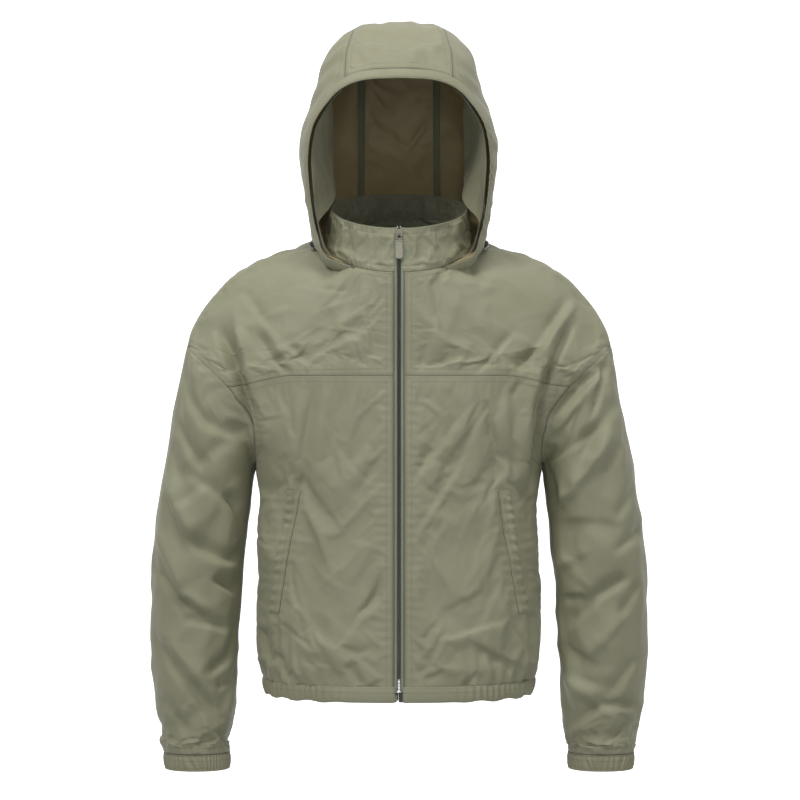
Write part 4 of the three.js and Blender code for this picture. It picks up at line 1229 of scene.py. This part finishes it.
def facing_grid(seed):
    """The facing inside the hood, 5 mm in from the outer cloth: from nothing at the crown to a
    wide band down the side, where it hangs inwards."""
    cols, rows = 150, 44
    s = np.linspace(0.988, 0.24, cols)
    depth = 0.02 + 0.55 * smooth((s - 0.24) / 0.26) + 0.25 * smooth((s - 0.75) / 0.2)
    v = 0.004 + np.linspace(0, 1, rows)[:, None] * depth[None, :]
    grid = hood(v, np.broadcast_to(s, (rows, cols)))
    gap, run = edge_values(grid, "t")
    shape = -5.0 + 1.3 * noise(run / 24, gap / 46, 0.0, seed) * smooth(gap / 10)
    shape += 1.2 * noise((run + gap) / 15, gap / 50, 3.0, seed + 1) * smooth(gap / 10)
    out = soften(grid, shape)
    lean = smooth((s - 0.26) / 0.2) * smooth((0.82 - s) / 0.18)
    out[..., 0] -= 34 * lean * np.linspace(0, 1, rows)[:, None] ** 0.8
    return out, gap, run


def hood_tape_grid():
    """The taped seam inside the hood, 9 mm wide, from the channel to the nape."""
    rows, cols = 90, 7
    v = np.linspace(0.02, 0.985, rows)
    x = SEAM_X[0] + (SEAM_X[1] - SEAM_X[0]) * smooth(v / 0.35)
    lo, hi = seam_s(v, x - 4.5), seam_s(v, x + 4.5)
    u = np.linspace(0, 1, cols)[None, :]
    s = hi[:, None] + (lo - hi)[:, None] * u
    grid = hood(np.broadcast_to(v[:, None], s.shape), s)
    across, downs = run_lengths(grid)
    bulge = 0.5 * np.sin(np.pi * u) - 0.25
    return soften(grid, -2.6 - bulge), np.minimum(across, across[:, -1:] - across), downs


# ---- placing the pieces ----
NECK_UP = np.array([0, -NECK_TILT, 1]) / math.hypot(NECK_TILT, 1)
HOOD_BEND = ("jacket", "hood", (0.0, 0.0, NECK_Z * MM),
             tuple(np.array([0, 0, NECK_Z * MM]) + NECK_UP * 0.075))
ARM_OUT = np.array([151.0, 0.0, -87.0]) / math.hypot(151, 87)


def arm_bend(name, side):
    """Where a sleeve turns from following the body to following the arm."""
    start = np.array([224.5, 0, -181.5]) * MM
    end = start + ARM_OUT * 0.11
    mirror = np.array([side, 1, 1])
    return ("jacket", "sleeve_" + name, tuple(start * mirror), tuple(end * mirror))


def cloth_piece(name, grid, gap, run, side, held=None, edges="", looks_in="inside", growth=None,
                cap=6.0, frames=18, closed=False, thick=None):
    """Makes a cloth piece from its grid, lets it buckle between its seams and thickens it. Where
    they aren't given, growth and thickness are the settings', which hold single precision."""
    settings = bpy.context.scene.jacket
    growth = round(settings.buckle, 5) if growth is None else growth
    thick = round(settings.thickness / MM, 4) if thick is None else thick
    rows, cols = grid.shape[:2]
    for key in edges:
        grid = tucked(grid, key)
        pad = [(1 if key == "t" else 0, 1 if key == "b" else 0),
               (1 if key == "l" else 0, 1 if key == "r" else 0)]
        gap = np.pad(gap, pad, mode="edge")
        run = np.pad(run, pad, mode="edge")
        held = None if held is None else np.pad(held, pad, mode="constant", constant_values=1.0)
        rows, cols = grid.shape[:2]
    points = turned(grid, side).reshape(-1, 3)
    obj = mesh_object(name, points, quads(rows, cols, closed), [LOOK["cloth"], LOOK[looks_in]],
                      {"edge": gap, "run": run}, flip=side < 0)
    if held is not None:
        settle(obj, held.ravel(), growth, 0.0, frames, cap)
    finish_cloth(obj, thick)
    return obj


def hard_piece(name, parts, material, side=1):
    """A hard piece from several closed meshes."""
    points, faces = joined(parts)
    return mesh_object(name, points * np.array([side, 1, 1]), faces, [LOOK[material]], flip=side < 0)


def as_sheet(grid):
    """Works out a cloth piece's flat size and area, which nothing uses."""
    across, downs = run_lengths(grid)
    width, length = (max(np.percentile(a, 85) / 1000, 0.011) for a in (across[:, -1], downs[-1]))
    area = float(np.clip(flat_area(grid), 0.31 * width * length, width * length))


def placed(obj, where, nodes):
    """Parents a finished piece to its body's empty when given a body's name, else bakes its transform;
    and hides its CAD nodes.
    """
    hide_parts(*nodes)
    if isinstance(where, str):
        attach(obj, where)
    else:
        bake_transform(obj)
    return obj


class JacketSettings(bpy.types.PropertyGroup):
    """Sizes that change the jacket's look without changing its shape."""

    thickness: FloatProperty(name="Cloth thickness", description="Thickness of the shell cloth",
                             default=0.0007, min=0.0003, max=0.0015, unit="LENGTH")
    buckle: FloatProperty(name="Slackness", description="How much larger the cloth is cut than the form",
                          default=0.03, min=0.0, max=0.08, subtype="FACTOR")
    coil_pitch: FloatProperty(name="Coil pitch", description="Distance between turns of the zip's coil",
                              default=0.0018, min=0.001, max=0.004, unit="LENGTH")
    lamp: FloatProperty(name="Key light", description="Power of the soft key light",
                        default=38.0, min=0.0, max=500.0, unit="POWER")


class JACKET_OT_stage(bpy.types.Operator):
    """Makes the camera, the pale backdrop and the soft studio lights"""

    bl_idname = "jacket.stage"
    bl_label = "Stage"

    def execute(self, context):
        scene = context.scene
        camera = bpy.data.cameras.new("camera")
        camera.sensor_width = SENSOR
        camera.lens = LENS
        camera.clip_end = 50.0
        eye = bpy.data.objects.new("camera", camera)
        eye.location = EYE
        eye.rotation_euler = (math.pi / 2, 0, 0)
        scene.collection.objects.link(eye)
        scene.camera = eye
        scene.view_settings.view_transform = "Standard"
        world = bpy.data.worlds.new("world")
        world.use_nodes = True
        world.node_tree.nodes["Background"].inputs[0].default_value = (1.0, 1.0, 1.0, 1.0)
        world.node_tree.nodes["Background"].inputs[1].default_value = 0.30
        scene.world = world
        paper = self.backdrop()
        paper.visible_diffuse = False
        for name, place, aim, size, power in (
                ("key", (-1.3, -1.7, 2.1), (0, 0, -0.1), 0.8, context.scene.jacket.lamp),
                ("fill", (2.4, -1.6, 0.9), (0, 0, -0.2), 1.0, 9.0),
                ("front", (0.2, -3.6, 0.4), (0, 0, 0.1), 0.8, 10.0),
                ("top", (0.2, -1.0, 2.3), (0, 0, -0.2), 0.8, 24.0)):
            lamp = bpy.data.lights.new(name, "AREA")
            lamp.shape = "SQUARE"
            lamp.size = size
            lamp.energy = power
            obj = bpy.data.objects.new(name, lamp)
            obj.location = place
            toward = Vector(aim) - Vector(place)
            obj.rotation_euler = toward.to_track_quat("-Z", "Y").to_euler()
            scene.collection.objects.link(obj)
        return {"FINISHED"}

    def backdrop(self):
        """A floor that curves up into a wall behind the jacket."""
        u = np.linspace(0, 1, 40)
        turn = np.clip((u - 0.4) / 0.2, 0, 1) * np.pi / 2
        y = np.where(u < 0.4, -6000 + u / 0.4 * 8000, 2000 + 1200 * np.sin(turn))
        z = np.where(u > 0.6, 400 + (u - 0.6) / 0.4 * 7000, -800 + 1200 * (1 - np.cos(turn)))
        x = np.linspace(-7000, 7000, 8)
        grid = np.stack([np.broadcast_to(x[None, :], (40, 8)), np.broadcast_to(y[:, None], (40, 8)),
                         np.broadcast_to(z[:, None], (40, 8))], axis=-1)
        s = Surface("backdrop_paper", roughness=0.9)
        here = s.coordinates((1, 1, 1))
        tooth = s.wire(s.node("TexNoise", None, Vector=here, Scale=60.0, Detail=3.0))
        s.plug("Base Color", s.mix(tooth, linear((250, 250, 250)), linear((246, 246, 246))))
        s.shader.inputs["Emission Color"].default_value = (1, 1, 1, 1)
        s.shader.inputs["Emission Strength"].default_value = 0.9
        return mesh_object("backdrop", grid.reshape(-1, 3), quads(40, 8), [s.material])


class JACKET_OT_fronts(bpy.types.Operator):
    """Makes the two lower fronts and the two front yokes"""

    bl_idname = "jacket.fronts"
    bl_label = "Fronts"

    def execute(self, context):
        for name, side in SIDES:
            grid, gap, run, held = lower_front(name)
            obj = cloth_piece("front_panel_" + name, grid, gap, run, side, held, "tblr")
            as_sheet(grid)
            placed(obj, "jacket", ["front_" + name])
            grid, gap, run, held = front_yoke(name)
            obj = cloth_piece("shoulder_yoke_" + name, grid, gap, run, side, held, "tblr", cap=5.0)
            as_sheet(grid)
            placed(obj, "jacket", ["yoke_front_" + name])
        return {"FINISHED"}


class JACKET_OT_back(bpy.types.Operator):
    """Makes the back panel and the back yoke"""

    bl_idname = "jacket.back"
    bl_label = "Back"

    def execute(self, context):
        for name, low, high, rows, cols, node, seed in (
                ("back_cloth", hem_seam, yoke_z, 88, 108, "back_panel", 101),
                ("back_shoulder_yoke", yoke_z, None, 58, 116, "yoke_back", 131)):
            grid = back_half(low, high, rows, cols)
            gap, run = edge_values(grid, "tblr" if high is None else "tlr")
            shape = back_folds(grid, seed, smooth(gap / 16))
            mirrored = grid * np.array([1, 1, 1])
            mirrored[..., 0] = np.abs(grid[..., 0])
            shape = shape + great_folds(mirrored, "left") * smooth(gap / 4)
            shape += pucker(gap, run, seed, 0.7)
            grid = soften(grid, shape)
            obj = cloth_piece(name, grid, gap, run, 1, pinned(grid), "tblr")
            as_sheet(grid)
            placed(obj, "jacket", [node])
        return {"FINISHED"}


class JACKET_OT_hem(bpy.types.Operator):
    """Makes the three lengths of the gathered hem band and the elastic inside"""

    bl_idname = "jacket.hem"
    bl_label = "Hem"

    def execute(self, context):
        start = float(theta_at(FRONT_EDGE, HEM_SEAM))
        for name, side in SIDES:
            grid = hem_grid(start, np.pi / 2, 150, 5 + side)
            self.band("hem_band_" + name, grid, side, "hem_" + name)
        grid = hem_grid(np.pi / 2 + 1e-6, 3 * np.pi / 2 - 1e-6, 260, 9)
        self.band("hem_band_back", grid, 1, "hem_back")
        theta = np.linspace(0.03, 2 * np.pi - 0.03, 360)[None, :]
        theta = np.where(np.abs(theta - np.pi / 2) < 1e-4, np.pi / 2 + 1e-4, theta)
        z = np.linspace(-527.5, -540.5, 9)[:, None]
        grid = body(np.broadcast_to(z, (9, 360)), theta)
        grid = soften(grid, -3.0 + 0.35 * np.sin(np.arange(9)[:, None] * np.pi / 2 * 1.9))
        gap, run = edge_values(grid, "tb")
        obj = mesh_object("hem_elastic_band", grid.reshape(-1, 3), quads(9, 360), [LOOK["elastic"]],
                          {"edge": gap, "run": run})
        finish_cloth(obj, 1.0)
        as_sheet(grid)
        placed(obj, "jacket", ["hem_elastic"])
        return {"FINISHED"}

    def band(self, name, grid, side, node):
        gap, run = edge_values(grid, "t")
        obj = cloth_piece(name, grid, gap, run, side, None, "tlr", thick=1.2)
        as_sheet(grid)
        placed(obj, "jacket", [node])


class JACKET_OT_collar(bpy.types.Operator):
    """Makes the stand collar, the neck tape and the hanger loop"""

    bl_idname = "jacket.collar"
    bl_label = "Collar"

    def execute(self, context):
        start = math.asin(FRONT_EDGE / COLLAR_HALF[0])
        for name, side in SIDES:
            grid, gap, run = collar_grid(start, np.pi / 2, 84, 60 + side)
            self.piece("collar_cloth_" + name, grid, gap, run, side, ["collar_" + name])
        grid, gap, run = collar_grid(np.pi / 2 + 1e-6, 3 * np.pi / 2 - 1e-6, 130, 66)
        self.piece("collar_cloth_back", grid, gap, run, 1, ["collar_back"])
        theta = np.linspace(np.pi / 2 + 0.01, 3 * np.pi / 2 - 0.01, 120)[None, :]
        t = np.linspace(0.1, -0.1, 8)[:, None]
        upper = collar_point(np.broadcast_to(t, (8, 120)), theta)
        lower = body(NECK_Z + np.broadcast_to(t, (8, 120)) * 47.6, theta)
        grid = soften(np.where(t[..., None] < 0, lower, upper), -2.6)
        gap, run = edge_values(grid, "tb")
        obj = mesh_object("neck_seam_tape", grid.reshape(-1, 3), quads(8, 120), [LOOK["tape"]],
                          {"edge": gap, "run": run})
        finish_cloth(obj, 0.6)
        as_sheet(grid)
        placed(obj, "jacket", ["neck_tape"])
        x = 24 * np.cos(np.linspace(0, np.pi, 41))
        drop = 10.5 * np.sin(np.linspace(0, np.pi, 41)) ** 0.6
        line = np.stack([x, np.full(41, 65.3), 48.6 - drop], axis=1)
        points, faces = rod(line, 1.7)
        points = (points - [0, 65.3, 0]) * [1, 0.4, 1] + [0, 65.3, 0]
        obj = hard_piece("hanger_loop", [(points, faces)], "tape")
        placed(obj, "jacket", ["hang_loop"])
        return {"FINISHED"}

    def piece(self, name, grid, gap, run, side, nodes):
        held = 1 - smooth((gap - 2) / 8)
        obj = cloth_piece(name, grid, gap, run, side, held, "blr", growth=0.05, cap=3.0, thick=1.4)
        as_sheet(grid)
        placed(obj, "jacket", nodes)


class JACKET_OT_sleeves(bpy.types.Operator):
    """Makes the sleeves, the gathered cuffs and their elastics"""

    bl_idname = "jacket.sleeves"
    bl_label = "Sleeves"

    def execute(self, context):
        for name, side in SIDES:
            grid, gap, run, held = sleeve_grid(name)
            obj = cloth_piece("sleeve_cloth_" + name, grid, gap, run, side, held, "", closed=True,
                              growth=0.05, cap=8.0, frames=24)
            as_sheet(grid)
            placed(obj, arm_bend(name, side), ["sleeve_" + name])
            grid = cuff_grid(name)
            gap, run = edge_values(grid, "t")
            obj = mesh_object("cuff_cloth_" + name, turned(grid, side).reshape(-1, 3),
                              quads(16, 288, True), [LOOK["cloth"], LOOK["inside"]],
                              {"edge": gap, "run": run}, flip=side < 0)
            finish_cloth(obj, 1.2)
            as_sheet(grid)
            placed(obj, "sleeve_" + name, ["cuff_" + name])
            rib = -3.2 + 0.3 * np.sin(np.arange(9)[:, None] * np.pi * 0.95)
            grid = ring_strip(lambda v, phi: sleeve(0.965 + 0.03 * v, phi), 9, 160, rib)
            gap, run = edge_values(grid, "tb")
            obj = mesh_object("cuff_elastic_band_" + name, turned(grid, side).reshape(-1, 3),
                              quads(9, 160, True), [LOOK["elastic"]], {"edge": gap, "run": run},
                              flip=side < 0)
            finish_cloth(obj, 0.9)
            as_sheet(grid)
            placed(obj, "sleeve_" + name, ["cuff_elastic_" + name])
        return {"FINISHED"}


class JACKET_OT_pockets(bpy.types.Operator):
    """Makes the pocket welts and the bags behind them"""

    bl_idname = "jacket.pockets"
    bl_label = "Pockets"

    def execute(self, context):
        for name, side in SIDES:
            grid, gap, run = welt_grid(name)
            obj = cloth_piece("pocket_welt_cloth_" + name, grid, gap, run, side, None, "", thick=0.9)
            as_sheet(grid)
            placed(obj, "jacket", ["pocket_welt_" + name])
            grid, gap, run = bag_grid(name)
            obj = cloth_piece("pocket_bag_cloth_" + name, grid, gap, run, side, None, "", "inside",
                              thick=1.0)
            as_sheet(grid)
            placed(obj, "jacket", ["pocket_bag_" + name])
        return {"FINISHED"}


ZIP_STRETCH = math.hypot(1, FRONT_LEAN)
CHAIN_TOP = 54.0
CHAIN_BOTTOM = (HEM_Z - NECK_FRONT_Z) * ZIP_STRETCH + 14
CHAIN_Y = 1.9


class JACKET_OT_zip(bpy.types.Operator):
    """Makes the zip's tapes, coils, stops, retainer box and pin"""

    bl_idname = "jacket.zip"
    bl_label = "Zip"

    def execute(self, context):
        pitch = context.scene.jacket.coil_pitch / MM
        for name, side in SIDES:
            z = np.linspace(CHAIN_TOP + 1.5, CHAIN_BOTTOM - 13, 260)[:, None]
            x = np.linspace(2.4, 16.5, 10)[None, :]
            y = CHAIN_Y - 1.0 + 1.9 * smooth((x - 5.0) / 3.5) + 0 * z
            y = y + 0.12 * np.sin(z / 6.5) * smooth((x - 3) / 3)
            flat = np.stack(np.broadcast_arrays(x, y, z), axis=-1)
            grid = on_front(flat).reshape(flat.shape)
            across, downs = run_lengths(grid)
            obj = mesh_object("zip_side_tape_" + name, turned(grid, side).reshape(-1, 3),
                              quads(260, 10), [LOOK["zip_tape"]], {"edge": across, "run": downs},
                              flip=side < 0)
            finish_cloth(obj, 0.5)
            as_sheet(grid)
            placed(obj, "jacket", ["zip_tape_" + name])
            turns = int((CHAIN_TOP - CHAIN_BOTTOM) / pitch)
            u = np.linspace(0, turns * 2 * np.pi, turns * 10) + (0 if side > 0 else np.pi)
            coil = np.stack([1.55 + 1.45 * np.cos(u), CHAIN_Y - 0.2 + 0.8 * np.sin(u),
                             CHAIN_BOTTOM + pitch * u / (2 * np.pi)], axis=1)
            points, faces = rod(on_front(coil), 0.36, 7)
            core = np.stack([np.full(60, 2.0), np.full(60, CHAIN_Y),
                             np.linspace(CHAIN_BOTTOM, CHAIN_TOP, 60)], axis=1)
            inner = rod(on_front(core), 0.55, 8)
            obj = hard_piece("zip_coil_" + name, [(points, faces), inner], "coil", side)
            placed(obj, "jacket", ["zip_chain_" + name])
            stop = rounded_box((1.9, CHAIN_Y, CHAIN_TOP + 1.75), (1.2, 1.4, 1.35), 4)
            obj = hard_piece("zip_end_stop_" + name, [(on_front(stop[0]), stop[1])], "steel", side)
            placed(obj, "jacket", ["zip_top_stop_" + name])
        bottom = (HEM_Z - NECK_FRONT_Z) * ZIP_STRETCH
        shell = rounded_box((2.2, CHAIN_Y - 0.2, bottom + 7.2), (2.6, 2.0, 6.2), 6)
        lip = rounded_box((2.2, CHAIN_Y - 0.9, bottom + 12.6), (2.9, 1.6, 0.9), 4)
        obj = hard_piece("zip_retainer_box", [(on_front(p), f) for p, f in (shell, lip)], "black")
        placed(obj, "jacket", ["zip_box"])
        pin = rounded_box((1.5, CHAIN_Y, bottom + 8.2), (0.9, 1.5, 5.2), 5)
        collar = rounded_box((2.4, CHAIN_Y - 0.3, bottom + 11.5), (1.9, 1.8, 1.4), 4)
        obj = hard_piece("zip_insertion_pin", [(on_front(p), f) for p, f in (pin, collar)], "black", -1)
        placed(obj, "jacket", ["zip_pin"])
        return {"FINISHED"}


class JACKET_OT_slider(bpy.types.Operator):
    """Makes the zip's slider, the wire link and the pull tab"""

    bl_idname = "jacket.slider"
    bl_label = "Slider and pull"

    def execute(self, context):
        mid = CHAIN_TOP - 0.5 - 4.5
        plate = rounded_box((0, 0.0, mid), (4.9, 0.62, 4.5), 3.6)
        back = rounded_box((0, 4.8, mid), (4.9, 0.6, 4.5), 3.6)
        web = rounded_box((0, 2.4, mid + 2.8), (1.1, 2.6, 1.5), 4)
        rails = [rounded_box((x, 0.7, mid - 0.4), (0.55, 1.0, 3.9), 4) for x in (-4.5, 4.5)]
        u = np.linspace(0, np.pi, 21)
        arch = np.stack([np.zeros(21), -0.4 - 3.1 * np.sin(u) ** 0.8, mid + 3.0 * np.cos(u)], axis=1)
        bridge = rod(arch, 0.85, 12)
        parts = [plate, back, web, bridge, *rails]
        obj = hard_piece("zip_slider_body", [(on_front(p), f) for p, f in parts], "paint")
        placed(obj, "zip_slider", ["zip_slider"])
        pin_y = -2.4
        low = mid - 8.5
        turn = np.linspace(0, 2 * np.pi, 60)
        loop = np.stack([2.6 * np.sign(np.cos(turn)) * np.abs(np.cos(turn)) ** 0.5,
                         np.full(60, pin_y),
                         (mid + low) / 2 + (mid - low) / 2 * np.sign(np.sin(turn))
                         * np.abs(np.sin(turn)) ** 0.5], axis=1)
        points, faces = rod(loop, 0.62, 10)
        obj = hard_piece("zip_pull_link", [(on_front(points), faces)], "steel")
        placed(obj, "zip_pull", ["zip_link"])
        top = low - 1.2
        plate = rounded_box((0, pin_y, top - 11.5), (5.3, 0.62, 11.5), 7, 20, 48)
        edge = np.stack([4.5 * np.sign(np.cos(turn)) * np.abs(np.cos(turn)) ** 0.3,
                         np.full(60, pin_y - 0.5),
                         top - 11.5 + 10.6 * np.sign(np.sin(turn)) * np.abs(np.sin(turn)) ** 0.3], axis=1)
        rim = rod(edge, 0.42, 8)
        step = rounded_box((0, pin_y - 0.3, top - 5.2), (3.1, 0.6, 0.7), 4)
        knuckle = rounded_box((0, pin_y, low), (1.6, 1.45, 1.7), 3)
        parts = [plate, rim, step, knuckle]
        obj = hard_piece("zip_pull_tab", [(on_front(p), f) for p, f in parts], "paint")
        placed(obj, "zip_pull", ["zip_tab"])
        return {"FINISHED"}


class JACKET_OT_hood(bpy.types.Operator):
    """Makes the hood's three panels"""

    bl_idname = "jacket.hood"
    bl_label = "Hood panels"

    def execute(self, context):
        grid, gap, run, held = hood_panel("centre", 92, 34, 141)
        obj = cloth_piece("hood_centre_cloth", grid, gap, run, 1, held, "tblr", "lining", cap=4.0)
        as_sheet(grid)
        placed(obj, HOOD_BEND, ["hood_centre"])
        for name, side in SIDES:
            grid, gap, run, held = hood_panel("side", 84, 66, 150 + 7 * side)
            obj = cloth_piece("hood_side_cloth_" + name, grid, gap, run, side, held, "tblr",
                              "lining", cap=5.0)
            as_sheet(grid)
            placed(obj, HOOD_BEND, ["hood_" + name])
        return {"FINISHED"}


class JACKET_OT_hood_trims(bpy.types.Operator):
    """Makes the drawcord channel, the facing behind it and the taped seams inside the hood"""

    bl_idname = "jacket.hood_trims"
    bl_label = "Hood trims"

    def execute(self, context):
        grid, gap, run = channel_grid(171)
        obj = cloth_piece("hood_drawcord_channel", grid, gap, run, 1, None, "", thick=1.2)
        as_sheet(grid)
        placed(obj, HOOD_BEND, ["hood_edge"])
        for name, side in SIDES:
            grid, gap, run = facing_grid(180 + side)
            obj = cloth_piece("hood_facing_" + name, grid, gap, run, side, None, "", "cloth")
            as_sheet(grid)
            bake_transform(obj)
            grid, gap, run = hood_tape_grid()
            obj = mesh_object("hood_seam_tape_" + name, turned(grid, side).reshape(-1, 3),
                              quads(*grid.shape[:2]), [LOOK["tape"]], {"edge": gap, "run": run},
                              flip=side < 0)
            finish_cloth(obj, 0.6)
            as_sheet(grid)
            placed(obj, HOOD_BEND, ["hood_tape_" + name])
        return {"FINISHED"}


class JACKET_OT_locks(bpy.types.Operator):
    """Makes the cord locks beside the hood and their spring buttons"""

    bl_idname = "jacket.locks"
    bl_label = "Cord locks"

    def execute(self, context):
        at = np.array([108.3, -12.0, 21.2])
        barrel = turned_profile([(0.01, 0), (4.2, 0), (5.2, 0.8), (5.5, 2), (5.5, 4.2), (5.0, 4.7),
                                 (5.0, 5.6), (5.5, 6.1), (5.5, 9), (5.0, 9.5), (5.0, 10.4),
                                 (5.5, 10.9), (5.5, 12.6), (5.2, 13.6), (4.5, 14), (3.8, 13.7),
                                 (3.75, 8.6), (0.01, 8.4)])
        lug = rounded_box((0, -3.6, -4.6), (2.4, 2.6, 2.6), 4)
        button = turned_profile([(0.01, 8.6), (3.3, 8.6), (3.55, 9.2), (3.55, 16.4), (3.4, 17.6),
                                 (2.8, 18.5), (1.6, 18.95), (0.01, 19)])
        ridges = [turned_profile([(3.4, d), (3.62, d + 0.3), (3.4, d + 0.6)], 24)
                  for d in (14.8, 16.0)]
        for name, side in SIDES:
            obj = hard_piece("cord_lock_barrel_" + name, [(barrel[0] + at, barrel[1]),
                                                          (lug[0] + at, lug[1])], "steel", side)
            placed(obj, "jacket", ["cord_lock_" + name])
            obj = hard_piece("cord_lock_plunger_" + name,
                             [(p + at, f) for p, f in (button, *ridges)], "black", side)
            placed(obj, "lock_button_" + name, ["lock_button_" + name])
        return {"FINISHED"}


class JACKET_PT_panel(bpy.types.Panel):
    """Sizes and steps of the jacket"""

    bl_idname = "JACKET_PT_panel"
    bl_label = "Hooded Jacket"
    bl_space_type = "VIEW_3D"
    bl_region_type = "UI"
    bl_category = "Jacket"

    def draw(self, context):
        for key in JacketSettings.__annotations__:
            self.layout.prop(context.scene.jacket, key)
        for step in STEPS:
            self.layout.operator(step.bl_idname)


STEPS = (JACKET_OT_stage, JACKET_OT_fronts, JACKET_OT_back, JACKET_OT_hem, JACKET_OT_collar,
         JACKET_OT_sleeves, JACKET_OT_pockets, JACKET_OT_zip, JACKET_OT_slider, JACKET_OT_hood,
         JACKET_OT_hood_trims, JACKET_OT_locks)


def register():
    for kind in (JacketSettings, *STEPS, JACKET_PT_panel):
        bpy.utils.register_class(kind)
    bpy.types.Scene.jacket = PointerProperty(type=JacketSettings)


def unregister():
    del bpy.types.Scene.jacket
    for kind in reversed((JacketSettings, *STEPS, JACKET_PT_panel)):
        bpy.utils.unregister_class(kind)


def main():
    register()
    looks()
    for step in STEPS:
        family, action = step.bl_idname.split(".")
        getattr(getattr(bpy.ops, family), action)()


if __name__ == "__main__":
    main()
